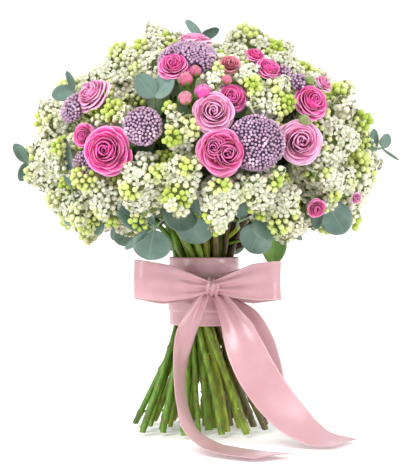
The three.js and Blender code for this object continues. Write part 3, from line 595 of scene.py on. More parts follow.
def addWhorls(shape, bloom, whorls, chance, slot):
    # Whorls side by side in place of one heart: how far aside, how far up and how wide, in radii
    centre, axis, size = bloom
    for aside, higher, wide in whorls:
        offset = Vector((aside, 0, higher)) * size
        offset -= axis * offset.dot(axis)
        small = size * wide / roseLayers[3][2]
        raised = axis * (0.5 * size - 0.53 * small)
        addBloom(shape, (centre + offset + raised, axis, small), roseLayers[3:], chance, slot)


def budRadius(reach):
    return max(0, math.sin(math.pi * (0.06 + 0.94 * reach))) ** 0.7


def addBud(shape, bloom, chance, slot):
    # Petals wrapped round one another to a closed tip
    spot = spotsAround(*bloom)
    twist = chance.uniform(0, anyTurn)
    for index, (radius, rim, count, halfAngle, inward) in enumerate(budLayers):
        for number in range(count):
            turn = twist + index * goldenAngle + number * 2 * math.pi / count

            def wrappedSpot(u, v):
                reach = v * (1 - wrappedBud["corner"] * abs(u) ** 2)
                out = radius * budRadius(reach) + wrappedBud["overlap"] * u * v * (1 - v ** 3)
                high = wrappedBud["foot"] + (rim - wrappedBud["foot"]) * reach
                return spot(out, turn + u * halfAngle, high)

            shape.patch(evenly(petal["rows"]), petal["columns"], wrappedSpot, inward, slot)


def addCalyx(shape, bloom, isBud=False):
    # The cup under a bloom, with sepals that hug its lowest petals or the closed bud
    spot = spotsAround(*bloom)
    shape.turned(spot, calyxProfile, calyx["sides"], calyx["foot"], shade=calyx["shade"])
    for sepal in range(calyx["sepals"]):
        turn = 2 * math.pi * sepal / calyx["sepals"]

        def sepalSpot(u, v):
            if isBud:
                width = 0.58 * (1 - v) ** 0.7
                return spot(calyx["budHug"] * budRadius(0.7 * v), turn + u * width, -0.95 + 1.2 * v)
            width = 0.34 * (1 - v) ** 0.6 * (0.6 + 0.8 * v)
            return spot(0.24 + 0.62 * math.sin(v * 1.35), turn + u * width, -0.84 + 0.62 * v)

        shape.patch(evenly(calyx["sepalRows"]), 3, sepalSpot, calyx["shade"])


def placedBloom(place, isBud=False):
    x, z, size, *rest = place
    lean = rest[0] if rest else placing["lean"]
    sink = rest[1] if len(rest) > 1 else placing["budSink" if isBud else "sink"]
    centre = sighted(x, z, rest[2]) if len(rest) > 2 else onDome(x, z, size * sink)
    return centre, facing(centre, lean), size


def farBloom(place):
    azimuth, z, size = place
    centre = behindDome(azimuth, z, size * placing["farSink"])
    return centre, facing(centre, 0), size


def stalkSeats(blooms, below):
    # Where each bloom meets its stalk, and the seat of them all on the stem with its axis
    seats = [centre - axis * (below * size) for centre, axis, size in blooms]
    if len(blooms) == 1:
        return seats, seats[0], blooms[0][1]
    axis = sum((bloom[1] for bloom in blooms), Vector()).normalized()
    return seats, sum(seats, Vector()) / len(seats) - axis * stalk["joint"], axis


def addStalk(shape, points, radius):
    line = smoothPath(points, stalk["perSpan"])
    tube(shape, line, [radius] * len(line), stalk["sides"], calyx["shade"])


def addSpray(shape, blooms, seats, seat, axis):
    # The stalks of a spray, from its fork to each bloom
    fork = seat + axis * stalk["fork"]
    for end, bloom in zip(seats, blooms):
        middle = fork.lerp(end, 0.5) - bloom[1] * (stalk["bow"] * (end - fork).length)
        addStalk(shape, [fork - axis * stalk["root"], fork, middle, end], stalk["radius"])


def headOf(name, kind, on, seat, axis):
    # What a stem has to know: its flower, the flower on whose stem it forks, if any, and where it ends
    return {"name": name, "kind": kind, "on": on, "seat": seat, "axis": axis}


def makeRoses():
    heads = []
    for name, rose in roses.items():
        chance = random.Random(name)
        petals, buds, greens = Shape(), Shape(), Shape()
        blooms = [placedBloom(place) for place in rose.get("blooms", [])]
        blooms += [farBloom(place) for place in rose.get("places", [])]
        closed = [placedBloom(place, True) for place in rose.get("buds", [])]
        whorls = rose.get("whorls", [])
        for number, bloom in enumerate(blooms):
            layers = roseLayers if bloom[2] > fullBloom else smallRoseLayers
            addBloom(petals, bloom, layers[:3] if whorls else layers, chance, number)
            addWhorls(petals, bloom, whorls, chance, number)
            addCalyx(greens, bloom)
        for number, bloom in enumerate(closed):
            addBud(buds, bloom, chance, number)
            addCalyx(greens, bloom, isBud=True)
        seats, seat, axis = stalkSeats(blooms + closed, stalk["seat"])
        if len(seats) > 1:
            addSpray(greens, blooms + closed, seats, seat, axis)
        build(f"{name}_petals", petals, rose["colours"], name)
        if closed:
            build(f"{name}_buds", buds, rose["budColours"], name)
        build(f"{name}_green", greens, ["calyx"], name)
        heads.append(headOf(name, "rose", rose.get("on"), seat, axis))
    return heads


# Leaves: points are x, z and y as sighted; each leaf is stem point, base, tip, width and roll

sprigs = {
    "eucalyptus_far_left": {
        "stem": [(-150, 262, -5), (-164, 264, 0), (-177, 263, 0)],
        "leaves": [
            (2, (-177, 264, 0), (-190, 282, -4), 13, 20),
            (2, (-177, 263, 0), (-184, 245, -4), 12, -20),
            (1, (-166, 270, 0), (-171, 283, 2), 5, 55),
        ],
    },
    "eucalyptus_upper_left": {
        "stem": [(-112, 326, -40), (-124, 332, -42), (-131, 336, -44)],
        "leaves": [
            (2, (-131, 336, -44), (-152, 330, -48), 16, 10), (2, (-131, 336, -44), (-137, 355, -40), 11, 50),
        ],
        "on": "eucalyptus_far_left",
    },
    "eucalyptus_crown": {
        "stem": [(-6, 362, -8), (-4, 380, -10), (-3, 389, -12)],
        "leaves": [
            (2, (-3, 389, -12), (-18, 406, -12), 10, 30), (2, (-3, 389, -12), (15, 397, -14), 12, 35),
        ],
    },
    "eucalyptus_heart_pair": {
        "stem": [(-46, 305, -118), (-49, 318, -134), (-50, 328, -140)],
        "leaves": [
            (2, (-50, 329, -141), (-67, 351, -146), 21, 15), (2, (-50, 329, -141), (-32, 351, -144), 21, -25),
        ],
        "on": "eucalyptus_crown",
    },
    "eucalyptus_left_low": {
        "stem": [(-96, 223, -62), (-110, 213, -67), (-124, 215, -67)],
        "leaves": [
            (2, (-126, 214, -67), (-139, 203, -62), 15, 12),
            (2, (-134, 240, -84), (-138, 284, -96), 15, -35),
            (1, (-108, 206, -70), (-105, 191, -76), 13, 14),
            (0, (-91, 198, -70), (-91, 186, -72), 6, 40),
        ],
        "on": "eucalyptus_lower_middle",
    },
    "eucalyptus_lower_middle": {
        "stem": [(-20, 206, -62), (-12, 212, -90), (-24, 220, -102), (-50, 198, -107)],
        "leaves": [
            (3, (-54, 200, -108), (-85, 217, -116), 25, 15),
            (3, (-50, 196, -106), (-55, 166, -102), 37, -10),
            (3, (-56, 194, -108), (-79, 177, -104), 10, 40),
            (3, (-51, 201, -109), (-58, 226, -122), 12, 50),
            (2, (-23, 219, -103), (-26, 195, -116), 33, -10),
            (1, (-12, 215, -92), (-13, 240, -112), 14, 10),
            (1, (-8, 213, -91), (10, 222, -98), 16, 20),
            (1, (-8, 208, -86), (-9, 182, -84), 34, 0),
        ],
    },
    "eucalyptus_lower_right": {
        "stem": [(34, 200, -62), (36, 205, -86), (60, 214, -106)],
        "leaves": [
            (1, (36, 208, -88), (40, 226, -98), 15, 20),
            (2, (61, 217, -107), (64, 237, -114), 35, 15),
            (2, (61, 211, -109), (66, 186, -116), 31, -15),
            (2, (58, 200, -90), (46, 174, -82), 33, 10),
            (2, (77, 204, -98), (98, 186, -92), 9, 30),
        ],
    },
    "eucalyptus_right_low": {
        "stem": [(97, 205, -58), (109, 210, -68), (121, 216, -76)],
        "leaves": [
            (2, (124, 221, -71), (141, 193, -74), 32, 0),
            (1, (114, 218, -72), (113, 197, -84), 13, 20),
        ],
        "on": "eucalyptus_lower_right",
    },
    "eucalyptus_far_right": {
        "stem": [(150, 268, 6), (168, 276, 4), (179, 278, 2)],
        "leaves": [
            (1, (170, 278, 4), (170, 297, 0), 10, 30),
            (1, (169, 272, 4), (175, 256, 0), 12, -10),
            (2, (179, 278, 2), (184, 292, 0), 12, 20),
            (2, (179, 277, 2), (195, 266, 2), 6, 65),
        ],
    },
    "broad_leaf": {
        "stem": [(56, 204, -30), (66, 202, -36), (71, 195, -38)],
        "leaves": [(2, (71, 195, -38), (69, 161, -36), 26, 0)],
        "on": "lilac_lower_right",
    },
    "eucalyptus_back": {
        "stem": [(-30, 204, 62), (-10, 196, 88), (12, 192, 100)],
        "leaves": [
            (2, (12, 190, 101), (-4, 168, 104), 33, 8),
            (2, (16, 190, 102), (40, 178, 104), 28, 0),
            (1, (-12, 194, 92), (-44, 184, 96), 30, 0),
            (0, (-60, 200, 84), (-90, 186, 84), 28, 0),
        ],
    },
}
blade = {
    "rows": 16, "columns": 11, "thickness": 0.6, "cup": 0.07, "bowl": 0.05, "ripple": 0.012, "crease": 0.02,
    "pointed": {"leaf": 0.3, "eucalyptus": 0.08},
}
twig = {"perSpan": 6, "sides": 8, "foot": 1.5, "thinning": 0.5}
petiole = {"perSpan": 3, "sides": 6, "radius": 0.9, "bend": 0.6, "intoLeaf": 0.06}


def addBlade(shape, base, tip, width, roll, chance, pointed):
    axis = tip - base
    length = axis.length
    axis.normalize()
    across = axis.cross((sight - base).normalized()).normalized()
    across.rotate(Quaternion(axis, math.radians(roll)))
    face = across.cross(axis).normalized()
    wave = chance.uniform(0, anyTurn)

    def bladeSpot(u, t):
        fullness = math.sqrt(max(0, 1 - (2 * t - 1) ** 2))
        aside = u * (width / 2 * fullness * (1 - pointed * t ** 2))
        level = blade["cup"] * (aside / (width / 2)) ** 2 - blade["bowl"] * fullness ** 2 * (1 - abs(u))
        level += blade["ripple"] * math.sin(9 * t + wave) * abs(u) ** 2
        level -= blade["crease"] * (1 - abs(u)) ** 6 * fullness
        return base + axis * (length * t) + across * aside + face * (width * level)

    levels = [0.5 - 0.5 * math.cos(math.pi * t) for t in evenly(blade["rows"])]
    shape.patch(levels, blade["columns"], bladeSpot, chance.random())


def makeSprigs():
    heads = []
    for name, sprig in sprigs.items():
        chance = random.Random(name)
        kind = "leaf" if name == "broad_leaf" else "eucalyptus"
        blades, twigs = Shape(), Shape()
        line = [sighted(*point) for point in sprig["stem"]]
        path = smoothPath(line, twig["perSpan"])
        radii = [twig["foot"] - twig["thinning"] * i / len(path) for i in range(len(path))]
        tube(twigs, path, radii, twig["sides"])
        for stemPoint, base, tip, width, roll in sprig["leaves"]:
            root, start, end = line[stemPoint], sighted(*base), sighted(*tip)
            if (start - root).length > 1:
                bend, seat = root.lerp(start, petiole["bend"]), start.lerp(end, petiole["intoLeaf"])
                path = smoothPath([root, bend, seat], petiole["perSpan"])
                tube(twigs, path, [petiole["radius"]] * len(path), petiole["sides"])
            addBlade(blades, start, end, width, roll, chance, blade["pointed"][kind])
        thicken(build(f"{name}_blades", blades, [kind], name), blade["thickness"])
        build(f"{name}_twig", twigs, ["twig"], name)
        heads.append(headOf(name, kind, sprig.get("on"), line[0], (line[1] - line[0]).normalized()))
    return heads


# Florets and buds, scattered over a surface by one tree of geometry nodes

florets = {"open": 5.2, "bud": 2.65, "budSides": 6, "mauve": 1.45, "mauveSides": 5}
# Along a petal of a floret, in its radii: how far out, half the width and how high
floretPetal = [(0.08, 0.1, 0.0), (0.45, 0.36, 0.16), (0.82, 0.38, 0.16), (1, 0.16, 0.06)]
closedBudProfile = [(0.78, -0.55), (1.0, 0.1), (0.72, 0.68)]


def openFloret(radius):
    shape = Shape()
    for number in range(4):
        turn = Quaternion(up, math.pi / 2 * number)

        def petalSpot(u, v):
            out, half, high = floretPetal[round(v * (len(floretPetal) - 1))]
            return turn @ (Vector((out, u * half, high + 0.1 * abs(u))) * radius)

        shape.patch(evenly(len(floretPetal)), 3, petalSpot)
    foot, top = Vector((0, 0, -1.1 * radius)), Vector((0, 0, 0.04 * radius))
    tube(shape, [foot, top], [0.1 * radius, 0.16 * radius], 5)
    return makeObject("Open floret", shape)


def closedBud(radius, sides, tall=1.15):
    shape = Shape()
    profile = [(out, high * tall) for out, high in closedBudProfile]
    shape.turned(spotsAround(Vector(), up, radius), profile, sides, -tall, tall)
    return makeObject("Closed bud", shape)


# Metres, radii of the dome and shares, as the tree takes them
scatter = {
    "mostPerSquareMetre": 1500000, "finer": 3, "coarser": 2, "clusterEdge": 0.4, "clusterSink": -0.12,
    "ripeTint": 1.1, "ripeMiddle": 0.42, "ripeFalloff": 2.1, "ripeLots": (-0.12, 0.16), "ripeHolds": 1.2,
    "tilt": 0.45, "spin": 6.283, "sizes": (0.8, 1.15), "heart": (0, 0, 0.25), "radii": (0.172, 0.172, 0.14),
    "touching": 0.0004, "weldWithin": 0.00001,
}


def scatterTree():
    tree = bpy.data.node_groups.new("Floret scatter", "GeometryNodeTree")
    labels = {
        "Geometry": ["Surface"],
        "Float": [
            "Spacing", "Floret scale", "Cluster size", "Cluster rise", "Core depth", "Open share",
            "Clearance", "Hollow",
        ],
        "Int": ["Seed"],
        "Object": ["Open floret", "Bud", "Keep clear of"],
        "Material": ["Floret material", "Core material"],
    }
    for kind, names in labels.items():
        for label in names:
            tree.interface.new_socket(label, in_out="INPUT", socket_type=f"NodeSocket{kind}")
    tree.interface.new_socket("Flowers", in_out="OUTPUT", socket_type="NodeSocketGeometry")

    def add(kind, inputs=None, **settings):
        return addNode(tree, kind, inputs, **settings).outputs

    def calculate(*values, **settings):
        return calculated(tree, *values, **settings)

    def vectors(operation, first, second=(0, 0, 0)):
        return add("ShaderNodeVectorMath", {0: first, 1: second}, operation=operation)

    def isLess(first, second):
        return add("FunctionNodeCompare", {0: first, 1: second}, data_type="FLOAT", operation="LESS_THAN")[0]

    def lots(low, high):
        return add("FunctionNodeRandomValue", {2: low, 3: high}, data_type="FLOAT")[1]

    def raised(geometry, distance):
        inputs = {"Vector": normal, "Scale": distance}
        offset = add("ShaderNodeVectorMath", inputs, operation="SCALE")["Vector"]
        return add("GeometryNodeSetPosition", {"Geometry": geometry, "Offset": offset})["Geometry"]

    def without(geometry, unwanted):
        inputs = {"Geometry": geometry, "Selection": unwanted}
        return add("GeometryNodeDeleteGeometry", inputs, domain="POINT")["Geometry"]

    def painted(geometry, material):
        return add("GeometryNodeSetMaterial", {"Geometry": geometry, "Material": material})["Geometry"]

    def joined(geometries):
        join = tree.nodes.new("GeometryNodeJoinGeometry")
        for geometry in geometries:
            tree.links.new(geometry, join.inputs["Geometry"])
        return join.outputs["Geometry"]

    given = add("NodeGroupInput")
    fine, coarse = [
        add("GeometryNodeSubdivisionSurface", {"Mesh": given["Surface"], "Level": level})["Mesh"]
        for level in (scatter["finer"], scatter["coarser"])
    ]

    # Clusters: cells of a Voronoi pattern, each swelling to its middle
    position = add("GeometryNodeInputPosition")["Position"]
    normal = add("GeometryNodeInputNormal")["Normal"]
    perMetre = calculate("DIVIDE", 1.0, given["Cluster size"])
    cells = add("ShaderNodeTexVoronoi", {"Vector": position, "Scale": perMetre})
    swell = calculate("SUBTRACT", scatter["clusterEdge"], cells["Distance"])
    swell = calculate("MAXIMUM", swell, scatter["clusterSink"])
    clustered = raised(fine, calculate("MULTIPLY", swell, given["Cluster rise"]))

    # Not open yet: the middle of each cluster, in some of them far out
    tint = add("ShaderNodeSeparateXYZ", {"Vector": cells["Color"]})[0]
    ripe = calculate("ADD", calculate("MULTIPLY", tint, scatter["ripeTint"]), scatter["ripeMiddle"])
    ripe = calculate("SUBTRACT", ripe, calculate("MULTIPLY", cells["Distance"], scatter["ripeFalloff"]))
    ripe = calculate("ADD", ripe, lots(*scatter["ripeLots"]), clamp=True)
    points = add("GeometryNodeDistributePointsOnFaces", {
        "Mesh": clustered, "Distance Min": given["Spacing"], "Density Max": scatter["mostPerSquareMetre"],
        "Seed": given["Seed"],
    }, distribute_method="POISSON")
    stored = add("GeometryNodeStoreNamedAttribute", {
        "Geometry": points["Points"], "Name": "ripeness", "Value": ripe,
    }, data_type="FLOAT", domain="POINT")["Geometry"]

    # Nothing grows through a petal or a leaf, nor deep inside the bouquet, where no eye reaches
    neighbour = add("GeometryNodeObjectInfo", {"Object": given["Keep clear of"]})["Geometry"]
    near = add("GeometryNodeProximity", {0: neighbour}, target_element="FACES")["Distance"]
    inRadii = vectors("DIVIDE", vectors("SUBTRACT", position, scatter["heart"])["Vector"], scatter["radii"])
    hidden = isLess(vectors("LENGTH", inRadii["Vector"])["Value"], given["Hollow"])
    tooNear = isLess(near, given["Clearance"])
    kept = without(stored, add("FunctionNodeBooleanMath", {0: tooNear, 1: hidden}, operation="OR")[0])

    # A floret or a bud on each point, turned out and spun at random
    spun = add("FunctionNodeRotateEuler", {
        "Rotation": points["Rotation"], "Angle": lots(0.0, scatter["spin"]),
    }, rotation_type="AXIS_ANGLE", space="LOCAL")["Rotation"]
    most = scatter["tilt"]
    limits = {0: (-most, -most, 0), 1: (most, most, 0)}
    tilt = add("FunctionNodeRandomValue", limits, data_type="FLOAT_VECTOR")
    tilted = add("FunctionNodeRotateEuler", {
        "Rotation": spun, "Rotate By": tilt[0],
    }, rotation_type="EULER", space="LOCAL")["Rotation"]
    scale = calculate("MULTIPLY", lots(*scatter["sizes"]), given["Floret scale"])
    openness = calculate("ADD", lots(0.0, 1.0), calculate("MULTIPLY", ripe, scatter["ripeHolds"]))
    isOpen = isLess(openness, given["Open share"])
    isClosed = add("FunctionNodeBooleanMath", {0: isOpen}, operation="NOT")[0]
    copies = []
    for source, chosen in (("Open floret", isOpen), ("Bud", isClosed)):
        model = add("GeometryNodeObjectInfo", {"Object": given[source]})["Geometry"]
        copies.append(add("GeometryNodeInstanceOnPoints", {
            "Points": kept, "Selection": chosen, "Instance": model, "Rotation": tilted, "Scale": scale,
        })["Instances"])
    real = add("GeometryNodeRealizeInstances", {"Geometry": joined(copies)})["Geometry"]
    flowers = painted(real, given["Floret material"])

    # The core that the florets stand out of, deeper than all of them
    sunk = raised(coarse, calculate("MULTIPLY", given["Core depth"], -1.0))
    core = painted(without(sunk, isLess(near, scatter["touching"])), given["Core material"])
    addNode(tree, "NodeGroupOutput", {"Flowers": joined([flowers, core])})
    return tree


def scattered(surface, tree, values, node):
    # The tree's result as a plain mesh, in place of the surface that it grew on
    modifier = surface.modifiers.new("Flowers", "NODES")
    modifier.node_group = tree
    for item in tree.interface.items_tree:
        if item.in_out == "INPUT" and item.name in values:
            modifier[item.identifier] = values[item.name]
    graph = bpy.context.evaluated_depsgraph_get()
    mesh = bpy.data.meshes.new_from_object(surface.evaluated_get(graph), depsgraph=graph)
    mesh.name = f"{node}_florets"
    mesh.polygons.foreach_set("use_smooth", [True] * len(mesh.polygons))
    old = surface.data
    surface.modifiers.remove(modifier)
    surface.data = mesh
    bpy.data.meshes.remove(old)
    addPiece(surface, node)


def flowerModels(kind, floret, bud, clearOf):
    return {
        "Open floret": floret, "Bud": bud, "Keep clear of": clearOf,
        "Floret material": materials[kind], "Core material": materials[f"{kind}Core"],
    }


def surfaceOf(node):
    surface = linked(f"{node}_florets", frame["nodes"][node].data.copy())
    weld = surface.modifiers.new("Weld", "WELD")
    weld.merge_threshold = scatter["weldWithin"]
    return surface


def joinedCopy(name, pieces):
    points = []
    faces = []
    for piece in pieces:
        first = len(points)
        points.extend(vertex.co.copy() for vertex in piece.data.vertices)
        faces.extend([first + index for index in face.vertices] for face in piece.data.polygons)
    mesh = bpy.data.meshes.new(name)
    mesh.from_pydata(points, [], faces)
    return linked(name, mesh)


# Mauve heads: x and z as sighted, then radius, lean and sink. Those of the far side are placed as roses are

purples = {
    "purple_left": {"heads": [(-61, 300, 17.5, 0.4)]},
    "purple_right": {"heads": [(52, 283, 25.5, 0.45, 0.3)]},
    "purple_crown": {"heads": [(-17, 367, 27, -0.2, 0.25)]},
    "purple_far_left": {"heads": [(-131, 318, 15, 0)]},
    "purple_low_left": {"heads": [(-119, 262, 12, 0.3, 1.1)], "on": "purple_far_left"},
    "purple_upper_right": {"heads": [(96, 343, 10, 0.1, 0.4), (79, 356, 7, 0.1, 0.4)], "on": "purple_right"},
    "purple_back_right": {"places": [(44, 322, 25)]},
    "purple_back_left": {"places": [(125, 270, 24)], "on": "purple_back_right"},
}
domeProfile = [
    (0.3, -0.56), (0.7, -0.4), (0.96, -0.18), (1.02, 0.05), (0.86, 0.24), (0.55, 0.37), (0.22, 0.43),
]
purpleFlowers = {
    "Spacing": 0.0026, "Floret scale": 1.06, "Cluster size": 0.011, "Cluster rise": 0.004,
    "Core depth": 0.0016, "Open share": -1.0, "Clearance": 0.0018, "Hollow": 0.0,
}
mauveHead = {
    "sides": 18, "foot": -0.6, "top": 0.44, "sink": 0.3, "seat": 0.75, "forkRadius": 1.5, "rays": 9,
    "rayFoot": -0.85, "rayEnd": -0.35, "rayRadii": [1.1, 0.8], "raySides": 6,
}


def addDome(shape, bloom):
    spot = spotsAround(*bloom)
    shape.turned(spot, domeProfile, mauveHead["sides"], mauveHead["foot"], mauveHead["top"])


def placedPurple(place):
    x, z, size, lean, *rest = place
    centre = onDome(x, z, size * (rest[0] if rest else mauveHead["sink"]))
    return centre, facing(centre, lean), size


def makePurples(tree, models):
    heads = []
    for number, (name, purple) in enumerate(purples.items()):
        domes, greens = Shape(), Shape()
        blooms = [placedPurple(place) for place in purple.get("heads", [])]
        blooms += [farBloom(place) for place in purple.get("places", [])]
        seats, seat, axis = stalkSeats(blooms, mauveHead["seat"])
        if len(seats) > 1:
            for end in seats:
                addStalk(greens, [seat, seat.lerp(end, 0.5), end], mauveHead["forkRadius"])
        for bloom in blooms:
            addDome(domes, bloom)
            spot = spotsAround(*bloom)
            for ray in range(mauveHead["rays"]):
                out = 0.25 + 0.5 * ray / mauveHead["rays"]
                line = [spot(0, 0, mauveHead["rayFoot"]), spot(out, ray * goldenAngle, mauveHead["rayEnd"])]
                tube(greens, line, mauveHead["rayRadii"], mauveHead["raySides"], calyx["shade"])
        surface = makeObject(f"{name}_florets", domes)
        scattered(surface, tree, {**purpleFlowers, **models, "Seed": number}, name)
        build(f"{name}_green", greens, ["calyx"], name)
        heads.append(headOf(name, "purple", purple.get("on"), seat, axis))
    return heads


# Lilac grows on the frame's own heads; beside each, the head that its stem forks from

lilacs = {
    "lilac_left": None,
    "lilac_left_low": "lilac_left",
    "lilac_under_rose": None,
    "lilac_lower_middle": None,
    "lilac_column": None,
    "lilac_drooping": None,
    "lilac_lower_right": None,
    "lilac_drooping_right": "lilac_lower_right",
    "lilac_right": None,
    "lilac_upper_right": None,
    "lilac_top_right": "lilac_upper_right",
    "lilac_crown": None,
    "lilac_top_left": None,
    "lilac_upper_left": "lilac_beside_leaf",
    "lilac_beside_leaf": None,
    "lilac_back_low_right": None,
    "lilac_back_low_left": None,
    "lilac_back_right": None,
    "lilac_back_left": None,
    "lilac_back_top": None,
    "lilac_back_top_left": "lilac_back_top",
    "lilac_back_crown": "lilac_back_top",
}
# Where the lilac's stems come from, inside the bouquet
lilacHeart = Vector((0, 0, 222))
# The far side has fewer and larger florets
lilacFlowers = {
    "front": {"Spacing": 0.005, "Floret scale": 1.04},
    "far": {"Spacing": 0.0063, "Floret scale": 1.22},
    "both": {
        "Cluster size": 0.026, "Cluster rise": 0.03, "Core depth": 0.0048, "Open share": 0.56,
        "Clearance": 0.0022, "Hollow": 0.66,
    },
}


def makeLilac(tree, models):
    heads = []
    for number, (name, fork) in enumerate(lilacs.items()):
        corners = [vertex.co / metres for vertex in frame["nodes"][name].data.vertices]
        seat = min(corners, key=lambda corner: (corner - lilacHeart).length)
        middle = sum(corners, Vector()) / len(corners)
        side = "far" if name.startswith("lilac_back") else "front"
        values = {**lilacFlowers["both"], **lilacFlowers[side], **models, "Seed": number}
        scattered(surfaceOf(name), tree, values, name)
        heads.append(headOf(name, "lilac", fork, seat, (middle - seat).normalized()))
    return heads


# Side shoots of three heads, which stand in front: x, z and radius of each lobe

lilacShoots = {
    "lilac_crown": [(10, 367, 8), (8, 355, 10), (12, 344, 8)],
    "lilac_top_right": [(37, 352, 9), (45, 343, 11), (48, 356, 8)],
    "lilac_upper_right": [(68, 341, 9), (80, 343, 8)],
}
shoot = {"sink": 5, "lean": 0.3, "top": 3, "bend": 20, "root": 45, "radius": 1.4, "rise": 0.008, "seed": 40}


def makeShoots(tree, models):
    for number, (name, lobes) in enumerate(lilacShoots.items()):
        lobed, greens = Shape(), Shape()
        root = onDome(*lobes[1][:2], shoot["root"])
        for x, z, size in lobes:
            centre = onDome(x, z, shoot["sink"])
            axis = facing(centre, shoot["lean"])
            addDome(lobed, (centre, axis, size))
            top, bend = [centre - axis * shoot[label] for label in ("top", "bend")]
            addStalk(greens, [top, bend, root], shoot["radius"])
        values = {**lilacFlowers["both"], **lilacFlowers["front"], **models}
        values.update({"Cluster rise": shoot["rise"], "Seed": shoot["seed"] + number})
        scattered(makeObject(f"{name}_shoot_florets", lobed), tree, values, name)
        build(f"{name}_shoot_green", greens, ["calyx"], name)


# Stems: a spiral through the tie, each flower's own way worked out as in the frame

tie = {
    "bottom": 102, "top": 169, "radius": 27.5, "footRadius": 73, "footTwist": math.radians(35),
    "edgeTwist": math.radians(6), "topTwist": math.radians(-5), "headTwist": math.radians(28), "rounds": 12,
}
stemRadius = {"lilac": 4.0, "rose": 3.3, "purple": 2.9, "eucalyptus": 2.7, "leaf": 3.0}
stem = {
    "seed": 7, "sides": 9, "perSpan": 26, "finely": 56, "everyAbove": 5, "intoFlower": 1.5, "bend": 0.4,
    "strayFoot": 4.5, "strayLean": 2.2, "thickness": (0.84, 1.12), "forkSpan": 10, "forkSides": 8,
    "forkShare": 0.55, "forkShade": 0.6,
    "firstNode": (8, 34), "nextNode": (26, 52), "nodeReach": 1.9, "nodeSwell": 0.26,
    "taper": 0.3, "taperFrom": 120, "taperOver": 200, "browningAndShade": (170, 200), "shade": (-0.22, 0.22),
}
stub = {
    "below": 95, "share": 0.5, "sides": 8, "lean": 0.8, "sink": 0.3, "reach": (1.2, 3.4),
    "thinning": (0.5, 0.4, 0.34), "marks": (0.0, 0.0, 0.6),
}


def assignedSlots(heads):
    slots = [(math.sqrt(i / (len(heads) - 1)), i * goldenAngle) for i in range(len(heads))]
    wanted = []
    for head in heads:
        flat = Vector((head["seat"].x, head["seat"].y, 0)) / dome["radius"]
        flat.rotate(Quaternion(up, tie["headTwist"]))
        wanted.append(flat)

    def way(flower, slot):
        return (polar(slot[0], slot[1], 0) - wanted[flower]).length_squared

    # Two swap where that shortens their way
    for _ in range(tie["rounds"]):
        for a in range(len(slots)):
            for b in range(a + 1, len(slots)):
                swapped = way(a, slots[b]) + way(b, slots[a])
                if swapped < way(a, slots[a]) + way(b, slots[b]) - 1e-9:
                    slots[a], slots[b] = slots[b], slots[a]
    return slots


def stemNodes(length, chance):
    # Where buds once sat along a stem, by length from its cut end
    nodes = []
    place = chance.uniform(*stem["firstNode"])
    while place < length:
        nodes.append(place)
        place += chance.uniform(*stem["nextNode"])
    return nodes


def nodeBulges(lengths, nodes):
    reach = stem["nodeReach"]
    return [sum(math.exp(-((length - node) / reach) ** 2) for node in nodes) for length in lengths]


def stemRadii(lengths, radius, bulges):
    # Thicker at the nodes, thinner towards the flower
    tapers = [
        1 - stem["taper"] * max(0, min(1, (length - stem["taperFrom"]) / stem["taperOver"]))
        for length in lengths
    ]
    return [radius * taper * (1 + stem["nodeSwell"] * bulge) for taper, bulge in zip(tapers, bulges)]


def addStub(shape, line, lengths, place, radius, shade, chance):
    # What is left of a side shoot that was cut away
    at = next(i for i, length in enumerate(lengths) if length >= place)
    along = (line[at] - line[at - 1]).normalized()
    across, upward, _ = frameAlong(along)
    turn = chance.uniform(0, anyTurn)
    way = (across * math.cos(turn) + upward * math.sin(turn) + along * stub["lean"]).normalized()
    start = line[at] + way * (stub["sink"] * radius)
    long = radius + chance.uniform(*stub["reach"])
    points = [start, start + way * (0.6 * long), start + way * long]
    radii = [share * radius for share in stub["thinning"]]
    tube(shape, points, radii, stub["sides"], shade, 1, stub["marks"])


def reachFlower(head, start):
    # The last of a stem's way: its end in the flower, and the bend before it
    end = head["seat"] + head["axis"] * stem["intoFlower"]
    return end - head["axis"] * (stem["bend"] * (end - start).length), end


